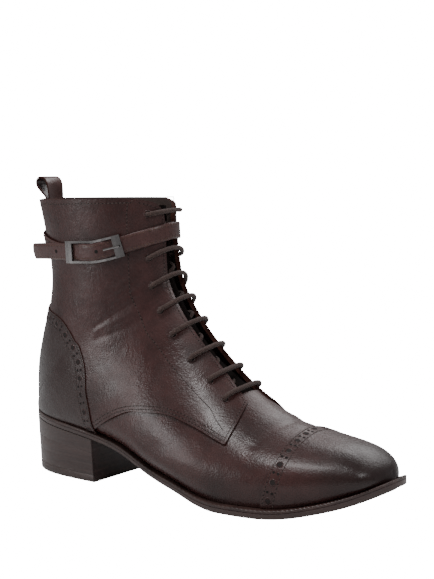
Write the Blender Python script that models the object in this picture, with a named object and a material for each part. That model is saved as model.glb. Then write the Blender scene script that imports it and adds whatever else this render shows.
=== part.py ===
"""Lace-up ankle boot with a side buckle strap, right foot, built piece by piece.

Run with: blender --background --python part.py
Metres, +Z up, toe towards +X, buckle side towards -Y. The heel's bottom face is centred on the origin.
"""
import math

import bpy
import numpy as np

# Named sizes, metres. Each can be changed by itself.
LENGTH = 0.262
BALL_WIDTH = 0.090
INSTEP_HEIGHT = 0.0955
COLLAR_HEIGHT = 0.1735
HEEL_HEIGHT = 0.0348
TOE_SPRING = 0.0174
HEEL_LENGTH = 0.068
HEEL_TAPER = 0.0012
SOLE_THICK = 0.006
WELT_THICK = 0.002
WELT_WIDTH = 0.0067
TREAD_DEPTH = 0.0008
TREAD_MARGIN = 0.005
EDGE_BEVEL = 0.0006
TREAD_FROM, TREAD_RAMP = 0.50, 0.06
HEEL_TURN = 0.75
INSOLE_THICK = 0.0025
WALL = 0.0016
LEATHER = 0.001
TONGUE_THICK = 0.0016
LACE_RADIUS = 0.00145
STRAP_WIDTH = 0.0102
STRAP_THICK = 0.0012
BUCKLE_LENGTH = 0.038
BUCKLE_BAR = 0.005
BUCKLE_RAIL = 0.0014
BUCKLE_THICK = 0.0015
CENTRE_BAR = 0.003
PRONG_RADIUS = 0.0007
PRONG_FROM, PRONG_TO = 0.42, 0.93
LOOP_WIDTH = 0.017
LOOP_HEIGHT = 0.014
LOOP_THICK = 0.0012

# Named clearances and margins.
GAP = 0.0003
BACK_SEAM = 0.0002
FACET = 0.00025
BUCKLE_CLEAR = 0.0003
INSOLE_CLEAR = 0.0005
INSOLE_ROW = 4
HEEL_MARGIN = 0.002
TOE_MARGIN = 0.006
WELT_MARGIN = 0.004
LACE_TUNNEL = 0.003
TUNNEL_FROM, TUNNEL_TO = 6.0, 7.5
BAR_SAG = 0.0018
SAG_REACH = 0.80
BAR_RINGS = 9
SHAFT_ROUND = 0.240
STRAP_RINGS = 64
COLLAR_CURVE = 0.0172
LOOP_LEAN = 0.25
LOOP_FLAT = 0.65
LOOP_COLUMNS = 6
FLAT_FROM, FLAT_TO = 0.65, 0.757
MERGE = 0.000005
SNAP = 0.12
SNAP_SIDE = 0.01

# Layers over the form: distance from the upper's outer face.
OVERLAY = (GAP, GAP + LEATHER)
COUNTER = (OVERLAY[1] + GAP, OVERLAY[1] + GAP + LEATHER)
STRAP_LAYER = OVERLAY[1] + GAP + FACET + STRAP_THICK / 2
HOP = GAP + BUCKLE_THICK + GAP + STRAP_THICK
LACE_LAYER = OVERLAY[1] + GAP + 3 * FACET + LACE_RADIUS

# Outsole outline from heel to toe.
# station (share of LENGTH), lateral and medial half widths (shares of BALL_WIDTH)
OUTLINE = (
    (0.000, 0.000, 0.000), (0.030, 0.195, 0.195), (0.090, 0.305, 0.300), (0.170, 0.350, 0.335),
    (0.260, 0.362, 0.325), (0.360, 0.372, 0.290), (0.460, 0.410, 0.300), (0.560, 0.465, 0.375),
    (0.650, 0.505, 0.455), (0.740, 0.490, 0.475), (0.830, 0.413, 0.435), (0.910, 0.290, 0.350),
    (0.968, 0.150, 0.235), (1.000, -0.050, 0.050))

# Height of the sole's underside.
# station, share of HEEL_HEIGHT, share of TOE_SPRING
UNDERSIDE = (
    (-0.05, 1.026, 0.0), (0.00, 1.000, 0.0), (0.13, 0.897, 0.0), (0.26, 0.776, 0.0), (0.35, 0.621, 0.0),
    (0.44, 0.362, 0.0), (0.52, 0.205, 0.0), (0.59, 0.062, 0.0), (0.65, 0.000, 0.0), (0.757, 0.000, 0.0),
    (0.80, 0.000, 0.045), (0.87, 0.000, 0.25), (0.94, 0.000, 0.586), (1.00, 0.000, 1.0), (1.05, 0.000, 1.31))

# station, sole thickness with its welt (share of SOLE_THICK)
THICKNESS = ((0.0, 0.75), (0.30, 0.70), (0.45, 0.73), (0.60, 0.93), (0.80, 1.00), (1.00, 1.00))

# Sections of the last, a fan from the toe over the instep to the collar. Each stands between a point of the
# sole's outline, or of the back line, and a point of the ridge.
# outline angle (degrees), ridge x (share of LENGTH), ridge height (share of INSTEP_HEIGHT, then share of
# the rise from instep to collar), lateral and medial half widths (shares of BALL_WIDTH), height of the
# widest point (share of the section), ridge shift (share of BALL_WIDTH), fullness power, roll of the part
# below the widest point (2 straight up from the sole, 1 round)
SECTIONS = (
    (180, 0.9695, 0.262, 0.000, -0.055, 0.055, 0.35, 0.067, 2.30, 2.00),
    (164, 0.9565, 0.306, 0.000, 0.156, 0.200, 0.35, 0.067, 2.30, 2.00),
    (149, 0.9200, 0.361, 0.000, 0.267, 0.317, 0.33, 0.061, 2.25, 2.00),
    (133, 0.8590, 0.398, 0.000, 0.383, 0.405, 0.30, 0.056, 2.20, 2.00),
    (117, 0.7790, 0.440, 0.000, 0.467, 0.450, 0.27, 0.044, 2.10, 2.00),
    (101, 0.6985, 0.513, 0.000, 0.494, 0.450, 0.25, 0.044, 2.05, 2.00),
    (85, 0.6185, 0.644, 0.000, 0.472, 0.411, 0.24, 0.044, 2.00, 2.00),
    (68, 0.5496, 0.817, 0.000, 0.422, 0.367, 0.24, 0.039, 2.00, 1.90),
    (49, 0.4924, 1.000, 0.000, 0.378, 0.350, 0.27, 0.033, 2.00, 1.75),
    (29, 0.4504, 1.000, 0.212, 0.356, 0.344, 0.34, 0.022, 2.00, 1.66),
    (9.5, 0.4275, 1.000, 0.372, 0.339, 0.339, 0.42, 0.011, 2.00, 1.45),
    (0, 0.4190, 1.000, 0.455, 0.333, 0.335, 0.46, 0.005, 2.00, 1.00),
    (0, 0.4122, 1.000, 0.551, 0.328, 0.333, 0.48, 0.000, 2.00, 1.00),
    (0, 0.4065, 1.000, 0.660, 0.322, 0.328, 0.50, 0.000, 2.00, 1.00),
    (0, 0.4027, 1.000, 0.769, 0.322, 0.328, 0.50, 0.000, 2.00, 1.00),
    (0, 0.4008, 1.000, 0.885, 0.333, 0.333, 0.50, 0.000, 2.00, 1.00),
    (0, 0.4008, 1.000, 1.000, 0.344, 0.344, 0.50, 0.000, 2.00, 1.00))

# Back line above the heel, one row for each section after the heel's.
# x (share of LENGTH), z (share of COLLAR_HEIGHT)
BACK = ((0.0115, 0.357), (0.0400, 0.519), (0.0649, 0.680), (0.0553, 0.836), (0.0305, 1.000))
HEEL_ROW = 11
TOP_ROW = 16
ORIGIN_X = HEEL_LENGTH / 2

# Rows and columns of corners on the form.
ROWS = np.array((0, 0.25, 0.7, 1.25, 1.8, 2.35, 2.9, 3.4, 3.85, 4.3, 4.7, 5.03, 5.25, 5.5, 5.95, 6.4, 6.9,
                 7.4, 7.9, 8.4, 8.95, 9.5, 10.0, 11, 11.5, 12, 12.5, 13, 13.5, 14, 14.5, 15, 15.5, 16))
PANEL_COLUMNS = 11
GAP_COLUMNS = 2
CROWDING = 0.09
LEVEL_COLUMNS = 2
THROAT_ROW = 14
FAN_ROW = 18
TONGUE_FROM, TONGUE_TO = 5.25, 15.5
TONGUE_COLUMN = 8

# Seams on the form: section number, share of the half section from the sole or back line to the ridge.
QUARTER_ARCH = ((5.03, 0.469), (5.33, 0.480), (5.75, 0.494), (6.23, 0.485), (6.60, 0.438), (6.88, 0.369),
                (7.15, 0.275), (7.30, 0.12), (7.40, 0.0), (7.50, -0.14))
QUARTER_FRONT = ((0.469, 5.03), (0.656, 5.28), (0.875, 5.65))
FACING_LATERAL = ((5.65, 0.875), (6.45, 0.920), (7.30, 0.930), (8.10, 0.934), (9.10, 0.944), (11.75, 0.968),
                  (13.10, 0.974), (15.20, 0.972), (15.75, 0.958), (16.0, 0.925))
FACING_MEDIAL = ((5.65, 0.875), (6.45, 0.885), (7.30, 0.893), (8.10, 0.900), (9.10, 0.903), (11.75, 0.915),
                 (13.10, 0.922), (15.20, 0.940), (15.75, 0.930), (16.0, 0.895))
CAP_EDGE = ((0.0, 3.60), (0.106, 3.65), (0.231, 3.68), (0.363, 3.75), (0.494, 3.83), (0.65, 3.93),
            (0.831, 4.03), (1.0, 4.10))
COUNTER_EDGE = ((7.33, 0.0), (7.58, 0.15), (7.93, 0.225), (8.28, 0.30), (8.83, 0.413), (9.45, 0.481),
                (11.10, 0.508), (11.88, 0.469), (12.68, 0.344), (13.15, 0.213), (13.75, 0.0))

# Eyelets from collar to throat.
# lateral section and share, medial section and share
EYELETS = ((15.05, 0.888, 15.25, 0.855), (12.40, 0.894, 12.75, 0.835), (10.30, 0.890, 10.65, 0.825),
           (9.00, 0.863, 9.25, 0.815), (8.15, 0.838, 8.38, 0.805), (7.30, 0.812, 7.52, 0.795),
           (6.58, 0.800, 6.78, 0.785), (5.98, 0.769, 6.15, 0.775))

# Height of the strap round the shaft.
# share of the way round from the front over the lateral side, height (share of COLLAR_HEIGHT)
STRAP_LINE = ((0.0, 0.885), (0.06, 0.865), (0.14, 0.835), (0.24, 0.812), (0.34, 0.822), (0.50, 0.868),
              (0.66, 0.868), (0.84, 0.872), (0.94, 0.884), (1.0, 0.885))
BUCKLE_AT = 0.198

# Way of the strap from the buckle's centre bar round the shaft and through the buckle to its free tip.
# turns from the buckle, layer over the strap's own (share of HOP)
STRAP_WAY = ((0.000, 0.00), (0.830, 0.00), (0.865, 0.03), (0.905, 0.18), (0.925, 0.245), (0.940, 0.33),
             (0.965, 0.69), (0.985, 0.98), (1.000, 1.00), (1.015, 0.965), (1.035, 0.78), (1.060, 0.545),
             (1.080, 0.52), (1.110, 0.545), (1.150, 0.72), (1.185, 1.20), (1.215, 1.90), (1.240, 2.60))
TIP_TAPER = 0.55

# Closed path of the pull loop's strip at the back of the collar.
# depth in front of the upper's inner face and height over the collar (shares of LOOP_HEIGHT)
LOOP_PATH = ((0.07, -1.25), (0.07, -0.60), (0.03, 0.02), (-0.22, 0.38), (-0.36, 0.66), (-0.30, 0.86),
             (-0.10, 0.98), (0.12, 0.90), (0.24, 0.66), (0.22, 0.36), (0.19, 0.04), (0.21, -0.60), (0.21, -1.25))

# Lines across the buckle, from its end towards the strap's tip.
# share of half its length, rise of its underside over the centre bar's (share of HOP)
BUCKLE_LINES = ((-1.0, 0.555), (-0.87, 0.56), (-0.74, 0.555), (-0.40, 0.24), (-0.08, 0.0), (0.08, 0.0),
                (0.40, 0.17), (0.74, 0.34), (0.87, 0.35), (1.0, 0.34))
BUCKLE_WINDOWS = (2, 3, 5, 6)

SKIN = (0.075, 0.050, 0.048)
MATERIALS = {
    "leather": (SKIN, 0.42, 0.0),
    "lining": ((0.16, 0.11, 0.085), 0.8, 0.0),
    "sole": ((0.085, 0.05, 0.043), 0.5, 0.0),
    "lace": ((0.12, 0.085, 0.08), 0.85, 0.0),
    "gunmetal": ((0.14, 0.13, 0.13), 0.25, 1.0),
}


def clear_scene():
    """Remove what the default scene holds."""
    for thing in list(bpy.data.objects):
        bpy.data.objects.remove(thing, do_unlink=True)


def material(name, tint):
    """A Principled material with the look that MATERIALS names."""
    color, roughness, metallic = MATERIALS[tint]
    mat = bpy.data.materials.new(name)
    mat.use_nodes = True
    shader = mat.node_tree.nodes["Principled BSDF"]
    shader.inputs["Base Color"].default_value = (*color, 1.0)
    shader.inputs["Roughness"].default_value = roughness
    shader.inputs["Metallic"].default_value = metallic
    return mat


def cubic(xs, ys):
    """Natural cubic spline through the rows of ys at xs."""
    xs = np.asarray(xs, float)
    ys = np.asarray(ys, float)
    count = len(xs)
    step = np.diff(xs)
    lhs = np.zeros((count, count))
    rhs = np.zeros((count,) + ys.shape[1:])
    lhs[0, 0] = lhs[-1, -1] = 1.0
    for i in range(1, count - 1):
        lhs[i, i - 1:i + 2] = (step[i - 1], 2 * (step[i - 1] + step[i]), step[i])
        rhs[i] = 6 * ((ys[i + 1] - ys[i]) / step[i] - (ys[i] - ys[i - 1]) / step[i - 1])
    bend = np.linalg.solve(lhs, rhs)

    def value(x):
        x = np.asarray(x, float)
        i = np.clip(np.searchsorted(xs, x, side="right") - 1, 0, count - 2)
        a = (xs[i + 1] - x) / step[i]
        b = 1 - a
        wide = (...,) + (None,) * (ys.ndim - 1)
        curve = ((a ** 3 - a)[wide] * bend[i] + (b ** 3 - b)[wide] * bend[i + 1]) * (step[i] ** 2)[wide] / 6
        return a[wide] * ys[i] + b[wide] * ys[i + 1] + curve

    return value


def mirrored(column, even):
    """A column with two ghost rows before it, even or odd about its first row."""
    column = np.asarray(column, float)
    ghost = column[2:0:-1]
    return np.concatenate([ghost if even else 2 * column[0] - ghost, column])


_outline = np.array(OUTLINE)
_half_widths = cubic(np.arccos(1 - 2 * _outline[:, 0]), _outline[:, 1:] * BALL_WIDTH)
_under = np.array(UNDERSIDE)
_under_of = cubic(_under[:, 0], _under[:, 1] * HEEL_HEIGHT + _under[:, 2] * TOE_SPRING)
_thick = np.array(THICKNESS)
_thick_of = cubic(_thick[:, 0], _thick[:, 1] * SOLE_THICK)


def plan(angle, margin=0.0, heel=None, toe=None):
    """Outline of the sole inside a margin: x, lateral and medial half widths at an angle, 0 heel, pi toe."""
    heel = margin if heel is None else heel
    toe = margin if toe is None else toe
    angle = np.asarray(angle, float)
    x = heel + (LENGTH - heel - toe) * (1 - np.cos(angle)) / 2
    width = _half_widths(angle)
    inset = margin * np.sin(angle)
    return x, width[..., 0] - inset, width[..., 1] - inset


def underside(x):
    """Height of the outsole's underside, flat on the floor under the ball."""
    share = np.asarray(x, float) / LENGTH
    flat = (share > FLAT_FROM) & (share < FLAT_TO)
    return np.where(flat, 0.0, np.maximum(_under_of(share), 0.0))


def topside(x):
    """Height of the sole's and welt's top."""
    return underside(x) + _thick_of(np.clip(np.asarray(x, float) / LENGTH, 0, 1))


def form_splines():
    """Splines of the outline angle, the back line and the other section columns over the section number."""
    table = np.array(SECTIONS)
    angle = np.radians(table[:HEEL_ROW + 1, 0])
    angle = np.concatenate([2 * math.pi - angle[2:0:-1], angle, angle[-2:-4:-1]])
    angle_of = cubic(np.arange(-2, HEEL_ROW + 3), angle)
    back = np.array(BACK) * [LENGTH, COLLAR_HEIGHT]
    heel = [[HEEL_MARGIN, float(topside(HEEL_MARGIN)) + GAP]]
    back_of = cubic(np.arange(HEEL_ROW - 2, TOP_ROW + 1), np.concatenate([back[1::-1], heel, back]))
    ridge = table[:, 2] * INSTEP_HEIGHT + table[:, 3] * (COLLAR_HEIGHT - INSTEP_HEIGHT)
    columns = (mirrored(table[:, 1] * LENGTH, True), mirrored(ridge, False),
               mirrored(table[:, 4] * BALL_WIDTH, False), mirrored(table[:, 5] * BALL_WIDTH, False),
               mirrored(table[:, 6], True), mirrored(table[:, 7] * BALL_WIDTH, True),
               mirrored(table[:, 8], True), mirrored(table[:, 9], True))
    return angle_of, back_of, cubic(np.arange(-2, TOP_ROW + 1), np.stack(columns, 1))


_angle_of, _back_of, _row_of = form_splines()
SAMPLES = 97
LOW_SHARE = 0.4
NUDGE = 0.004
POLE_NUDGE = 0.3


def base(number):
    """Lower end of each section: x, z and its lateral and medial half widths."""
    angle = np.where(number < HEEL_ROW, _angle_of(np.minimum(number, HEEL_ROW)), 0.0)
    x, lateral, medial = plan(angle, WELT_MARGIN, HEEL_MARGIN, TOE_MARGIN)
    back = _back_of(np.maximum(number, HEEL_ROW))
    up = number > HEEL_ROW
    z = np.where(up, back[..., 1], topside(x) + GAP)
    return np.where(up, back[..., 0], x), z, np.where(up, 0.0, lateral), np.where(up, 0.0, medial)


def half_sections(number, side):
    """Points along whole half sections, from the sole or back line to the ridge. Side is -1 or 1."""
    number = np.asarray(number, float)[:, None]
    bx, bz, lateral, medial = base(number)
    row = _row_of(number)
    top_x, top_z, wide_l, wide_m, belly, ridge, power, roll = (row[..., k] for k in range(8))
    seat = lateral if side < 0 else medial
    wide = wide_l if side < 0 else wide_m
    k = np.linspace(0, 1, SAMPLES)[None, :]
    low = np.clip(k / LOW_SHARE, 0, 1) * math.pi / 2
    high = np.clip((k - LOW_SHARE) / (1 - LOW_SHARE), 0, 1) * math.pi / 2
    up = np.where(k < LOW_SHARE, belly * (1 - np.cos(low)), belly + (1 - belly) * np.sin(high) ** (2 / power))
    y_low = side * (seat + (wide - seat) * np.sin(low) ** np.maximum(roll, 1.0))
    y_high = ridge + (side * wide - ridge) * np.cos(high) ** (2 / power)
    y = np.where(k < LOW_SHARE, y_low, y_high)
    return np.stack([bx + (top_x - bx) * up, y, bz + (top_z - bz) * up], -1)


def surface(number, share, side):
    """Points of the form at section numbers and shares of the half section's length."""
    number, share = np.broadcast_arrays(np.asarray(number, float), np.asarray(share, float))
    lines = half_sections(number.ravel(), side)
    steps = np.linalg.norm(np.diff(lines, axis=1), axis=2)
    along = np.concatenate([np.zeros((len(lines), 1)), np.cumsum(steps, axis=1)], axis=1)
    out = np.empty((len(lines), 3))
    for i, wanted in enumerate(share.ravel() * along[:, -1]):
        for axis in range(3):
            out[i, axis] = np.interp(wanted, along[i], lines[i, :, axis])
    return out.reshape(number.shape + (3,))


def outward(points, faces):
    """The faces turned so that the body's volume is positive."""
    points = np.asarray(points, float)
    volume = 0.0
    for face in faces:
        for k in range(1, len(face) - 1):
            volume += float(np.dot(points[face[0]], np.cross(points[face[k]], points[face[k + 1]])))
    return faces if volume > 0 else [face[::-1] for face in faces]


class Skin:
    """Sheet or body of faces with merged corners."""

    def __init__(self):
        self.points = []
        self.leans = []
        self.numbers = []
        self.faces = []
        self.index = {}

    def corner(self, point, lean=(0.0, 0.0, 0.0), number=0.0):
        """Index of a corner, shared with any corner at the same place."""
        key = tuple(int(round(c / MERGE)) for c in point)
        if key not in self.index:
            self.index[key] = len(self.points)
            self.points.append(np.asarray(point, float))
            self.leans.append(np.asarray(lean, float))
            self.numbers.append(float(number))
        return self.index[key]

    def face(self, corners):
        """Add a face, without any corner that is there twice."""
        corners = [c for k, c in enumerate(corners) if c != corners[k - 1]]
        if len(corners) > 2 and len(set(corners)) == len(corners):
            self.faces.append(corners)

    def grid(self, points):
        """Add a grid of points as faces."""
        rows, columns = points.shape[:2]
        ids = [[self.corner(points[i, j]) for j in range(columns)] for i in range(rows)]
        for i in range(rows - 1):
            for j in range(columns - 1):
                self.face([ids[i][j], ids[i + 1][j], ids[i + 1][j + 1], ids[i][j + 1]])
        return ids

    def edges(self):
        """Directed edges that only one face uses."""
        used = set()
        for face in self.faces:
            used.update((corner, face[(k + 1) % len(face)]) for k, corner in enumerate(face))
        return [edge for edge in used if (edge[1], edge[0]) not in used]

    def keep_main_patch(self):
        """Drop the crumbs that a seam leaves beside the main patch."""
        owners = {}
        for k, face in enumerate(self.faces):
            for i, corner in enumerate(face):
                owners.setdefault(frozenset((corner, face[(i + 1) % len(face)])), []).append(k)
        near = {k: set() for k in range(len(self.faces))}
        for shared in owners.values():
            for k in shared:
                near[k].update(shared)
        patches = []
        while near:
            patch, front = set(), [next(iter(near))]
            while front:
                k = front.pop()
                if k in near:
                    patch.add(k)
                    front.extend(near.pop(k))
            patches.append(patch)
        main = max(patches, key=len)
        self.faces = [self.faces[k] for k in sorted(main)]

    def solid(self, inner, outer):
        """Closed body between two distances from the sheet, numbers or functions of the section number."""
        used = sorted({corner for face in self.faces for corner in face})
        place = {corner: k for k, corner in enumerate(used)}
        self.faces = [[place[corner] for corner in face] for face in self.faces]
        points, leans = np.array(self.points)[used], np.array(self.leans)[used]
        count = len(points)
        numbers = np.array(self.numbers)[used]
        inner, outer = (way(numbers)[:, None] if callable(way) else way for way in (inner, outer))
        both = np.concatenate([points + leans * outer, points + leans * inner])
        both[:, 2] = np.maximum(both[:, 2], topside(both[:, 0]) + GAP)
        faces = [list(face) for face in self.faces]
        faces += [[c + count for c in reversed(face)] for face in self.faces]
        faces += [[b, a, a + count, b + count] for a, b in self.edges()]
        return both, outward(both, faces)


def add_object(name, points, faces, tint):
    """One named object from points in the boot's frame, moved to the part's origin."""
    mesh = bpy.data.meshes.new(name)
    points = np.asarray(points, float) - [ORIGIN_X, 0.0, 0.0]
    mesh.from_pydata([tuple(p) for p in points], [], [tuple(f) for f in faces])
    mesh.validate()
    mesh.update()
    thing = bpy.data.objects.new(name, mesh)
    thing.data.materials.append(material(name, tint))
    bpy.context.scene.collection.objects.link(thing)
    return thing


def table_of(rows):
    """Spline of a two-column table over its first column."""
    rows = np.array(rows)
    return cubic(rows[:, 0], rows[:, 1])


def loft(name, rings, tint, ends=True):
    """Closed body through rings of points. Ends that shrink to a line close by themselves."""
    skin = Skin()
    rings = np.asarray(rings, float)
    ids = skin.grid(np.concatenate([rings, rings[:, :1]], axis=1))
    if ends:
        skin.face(ids[0][:-1])
        skin.face(ids[-1][-2::-1])
    return add_object(name, skin.points, outward(skin.points, skin.faces), tint)


def sole_angles():
    """Outline angles of the rings across the sole: the form's own rows, with more round the heel."""
    rows = sorted(float(_angle_of(number)) for number in ROWS[ROWS <= HEEL_ROW])
    extra = [(one + two) / 2 for one, two in zip(rows, rows[1:]) if two < HEEL_TURN and two - one > 0.06]
    return sorted([0.0] + rows[1:] + extra)


def sole_point(angle, side, margin, level, rise):
    """A point of the sole at a margin inside its outline, a rise over its underside or topside."""
    x, lateral, medial = plan(angle, margin)
    return float(x), float(-lateral if side < 0 else medial), float(level(x)) + rise


def outsole():
    """Full sole with its rim, tread pad, welt step and plateau."""
    rings = []
    shelf = -WELT_THICK - GAP
    inside = WELT_WIDTH + GAP
    for angle in sole_angles():
        share = float(plan(angle)[0]) / LENGTH
        rim = TREAD_DEPTH * min(max((share - TREAD_FROM) / TREAD_RAMP, 0.0), 1.0)
        steps = ((TREAD_MARGIN + TREAD_DEPTH, underside, 0.0), (TREAD_MARGIN, underside, rim),
                 (EDGE_BEVEL, underside, rim), (0.0, underside, rim + EDGE_BEVEL), (0.0, topside, shelf),
                 (inside, topside, shelf), (inside, topside, 0.0))
        lateral = [sole_point(angle, -1, *step) for step in steps]
        medial = [sole_point(angle, 1, *step) for step in steps]
        rings.append(lateral + medial[::-1])
    return loft("outsole", rings, "sole", ends=False)


def welt():
    """Flat ring of leather round the top of the outsole."""
    steps = ((0.0, -WELT_THICK), (0.0, 0.0), (WELT_WIDTH, 0.0), (WELT_WIDTH, -WELT_THICK))
    rings = []
    angles = sole_angles()
    turns = [(-1, angle) for angle in angles] + [(1, angle) for angle in angles[-2:0:-1]]
    for side, angle in turns + turns[:1]:
        rings.append([sole_point(angle, side, margin, topside, drop) for margin, drop in steps])
    return loft("welt", rings, "sole", ends=False)


def heel_block():
    """Stacked heel under the back of the sole, with a straight breast."""
    last = math.acos(1 - 2 * HEEL_LENGTH / LENGTH)
    rings = []
    for angle in [angle for angle in sole_angles() if angle < last - 0.02] + [last]:
        low, high = [], []
        for side in (-1, 1):
            x, y, z = sole_point(angle, side, 0.0, underside, -GAP)
            high.append((x, y, z))
            taper = HEEL_TAPER * math.cos(angle)
            low.append((x + taper, y - side * HEEL_TAPER * math.sin(angle), 0.0))
        rings.append(low + high[::-1])
    return loft("heel_block", rings, "sole")


def facing_edge(number, side):
    """Share of the facing's front edge, carried on towards the toe."""
    rows = np.array(FACING_LATERAL if side < 0 else FACING_MEDIAL)
    inside = cubic(rows[:, 0], rows[:, 1])(np.maximum(number, rows[0, 0]))
    return np.minimum(inside, 1.0)


def net(side):
    """Corners of the whole form on one side: section numbers, shares and points."""
    even = np.linspace(0, 1, PANEL_COLUMNS + 1)
    panel = even - CROWDING * np.sin(2 * math.pi * even)
    edge = facing_edge(ROWS, side)[:, None]
    gap = np.linspace(0, 1, GAP_COLUMNS + 1)[1:]
    share = np.concatenate([edge * panel, edge + (1 - edge) * gap], axis=1)
    number = np.broadcast_to(ROWS[:, None], share.shape)
    return number, share, surface(number, share, side)


def quads(rows, columns):
    """Places of the corners of each cell of a grid."""
    for i in range(rows - 1):
        for j in range(columns - 1):
            yield (i, j), (i + 1, j), (i + 1, j + 1), (i, j + 1)


def panes(quad, side, row):
    """A cell as two triangles, cut the same way in every layer. The cut fans out from the toe and the heel."""
    one, two, three, four = quad if row < FAN_ROW else quad[1:] + quad[:1]
    if side > 0:
        return (one, two, four), (two, three, four)
    return (one, four, two), (two, four, three)


def form_leans(number, share, side):
    """Outward directions of the form, taken just beside its poles."""
    number = np.clip(number, 0.02, TOP_ROW - NUDGE)
    share = np.clip(share, 0.01, 0.99)
    reach = np.where(abs(number - HEEL_ROW) < 0.6, POLE_NUDGE, NUDGE)
    along = surface(number + reach, share, side) - surface(number - reach, share, side)
    across = surface(number, share + NUDGE, side) - surface(number, share - NUDGE, side)
    lean = np.cross(across, along) * -side
    return lean / np.linalg.norm(lean, axis=-1, keepdims=True)


def nets():
    """Both sides of the form with unit directions, one direction for each corner that the sides share."""
    sides = {}
    for side in (-1, 1):
        number, share, points = net(side)
        lean = form_leans(number, share, side)
        lean[ROWS > HEEL_ROW, 0, 1] = 0.0
        lean[ROWS <= HEEL_ROW, :LEVEL_COLUMNS, 2] = 0.0
        lean[HEEL_ROW_AT, 0] = (-1.0, 0.0, 0.0)
        sides[side] = (number, share, points, lean / np.linalg.norm(lean, axis=-1, keepdims=True))
    for place in (np.s_[:, -1], np.s_[0, :]):
        both = sides[-1][3][place] + sides[1][3][place]
        sides[-1][3][place] = sides[1][3][place] = both
    for side in (-1, 1):
        lean = sides[side][3]
        lean /= np.linalg.norm(lean, axis=-1, keepdims=True)
    return sides


HEEL_ROW_AT = int(np.argmin(abs(ROWS - HEEL_ROW)))
NETS = nets()


def crossing(one, two, inside):
    """Corner where a seam crosses the line between two corners of the form."""
    low, high = 0.0, 1.0
    first = inside(one[0], one[1])
    for _ in range(14):
        half = (low + high) / 2
        place = inside(one[0] + (two[0] - one[0]) * half, one[1] + (two[1] - one[1]) * half)
        low, high = (half, high) if place == first else (low, half)
    if low < SNAP:
        return one
    if low > 1 - SNAP:
        return two
    return tuple(a + (b - a) * low for a, b in zip(one, two))


def clipped(corners, inside):
    """The part of a triangle of the form that lies inside a seam."""
    keep = [inside(corner[0], corner[1]) for corner in corners]
    out = []
    for k, corner in enumerate(corners):
        if keep[k]:
            out.append(corner)
        after = (k + 1) % len(corners)
        if keep[k] != keep[after]:
            out.append(crossing(corner, corners[after], inside))
    return out


def cut_sheet(inside, sides=(-1, 1), columns=slice(None), seam=0.0):
    """Sheet of the form inside a seam, on its own corners, so that layers over it lie parallel."""
    skin = Skin()
    for side in sides:
        number, share, points, leans = (part[:, columns] for part in NETS[side])
        points = points.copy()
        points[ROWS >= HEEL_ROW, 0, 1] += side * seam
        for quad in quads(*number.shape):
            corners = [(float(number[k]), float(share[k]), points[k], leans[k]) for k in quad]
            for pane in panes(corners, side, quad[0][0]):
                kept = clipped(pane, inside)
                if len(kept) > 2:
                    skin.face([skin.corner(c[2], c[3], c[0]) for c in kept])
    skin.keep_main_patch()
    return skin


def upper():
    """Hollow upper: one wall from the feather edge to the collar, open at throat, collar and underneath."""
    skin = Skin()
    for side in (-1, 1):
        _, _, points, leans = NETS[side]
        for quad in quads(*points.shape[:2]):
            if quad[0][0] >= THROAT_ROW and quad[0][1] >= PANEL_COLUMNS:
                continue
            for pane in panes([skin.corner(points[k], leans[k]) for k in quad], side, quad[0][0]):
                skin.face(list(pane))
    points, faces = skin.solid(-WALL, 0.0)
    return add_object("upper", points, faces, "leather")


def quarter(side):
    """Side panel from the arched seam to the collar and facing, laid over the upper."""
    arch, front = table_of(QUARTER_ARCH), table_of(QUARTER_FRONT)
    arch_end, front_start = QUARTER_ARCH[-1][0], QUARTER_FRONT[0][0]

    def inside(number, share):
        if number < arch_end and share < arch(max(number, front_start)):
            return False
        return bool(number > front(min(max(share, 0.4), 0.95)) - SNAP_SIDE)

    skin = cut_sheet(inside, (side,), slice(0, PANEL_COLUMNS + 1), BACK_SEAM)
    points, faces = skin.solid(*OVERLAY)
    return add_object("quarter_lateral" if side < 0 else "quarter_medial", points, faces, "leather")


def toe_cap():
    """Cap over the toe, cut from the upper's own form."""
    edge = table_of(CAP_EDGE)
    skin = cut_sheet(lambda number, share: bool(number < edge(share)))
    points, faces = skin.solid(*OVERLAY)
    return add_object("toe_cap", points, faces, "leather")


def heel_counter():
    """Counter round the back of the heel, over both quarters."""
    edge = table_of(COUNTER_EDGE)
    first, last = COUNTER_EDGE[0][0], COUNTER_EDGE[-1][0]
    skin = cut_sheet(lambda number, share: bool(first <= number <= last and share < edge(number)))
    points, faces = skin.solid(*COUNTER)
    return add_object("heel_counter", points, faces, "leather")


def insole():
    """Insole inside the upper's bottom edge, cut straight just short of the toe."""
    rings = []
    for i in range(INSOLE_ROW, HEEL_ROW_AT + 1):
        ends = [NETS[side][2][i, 0] - NETS[side][3][i, 0] * (WALL + INSOLE_CLEAR) for side in (-1, 1)]
        low = [(x, y, float(topside(x)) + GAP) for x, y, _ in ends]
        high = [(x, y, z + INSOLE_THICK) for x, y, z in low]
        rings.append([low[0], high[0], high[1], low[1]])
    return loft("insole", rings, "lining")


def tongue():
    """Tongue under the facings, from inside the vamp to just under the collar, with room for the lace."""

    def outer(number):
        ramp = np.clip((number - TUNNEL_FROM) / (TUNNEL_TO - TUNNEL_FROM), 0, 1)
        return -WALL - GAP - LACE_TUNNEL * ramp * ramp * (3 - 2 * ramp)

    middle = slice(TONGUE_COLUMN, None)
    skin = cut_sheet(lambda number, share: TONGUE_FROM <= number <= TONGUE_TO, columns=middle)
    points, faces = skin.solid(lambda number: outer(number) - TONGUE_THICK, outer)
    return add_object("tongue", points, faces, "leather")


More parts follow.
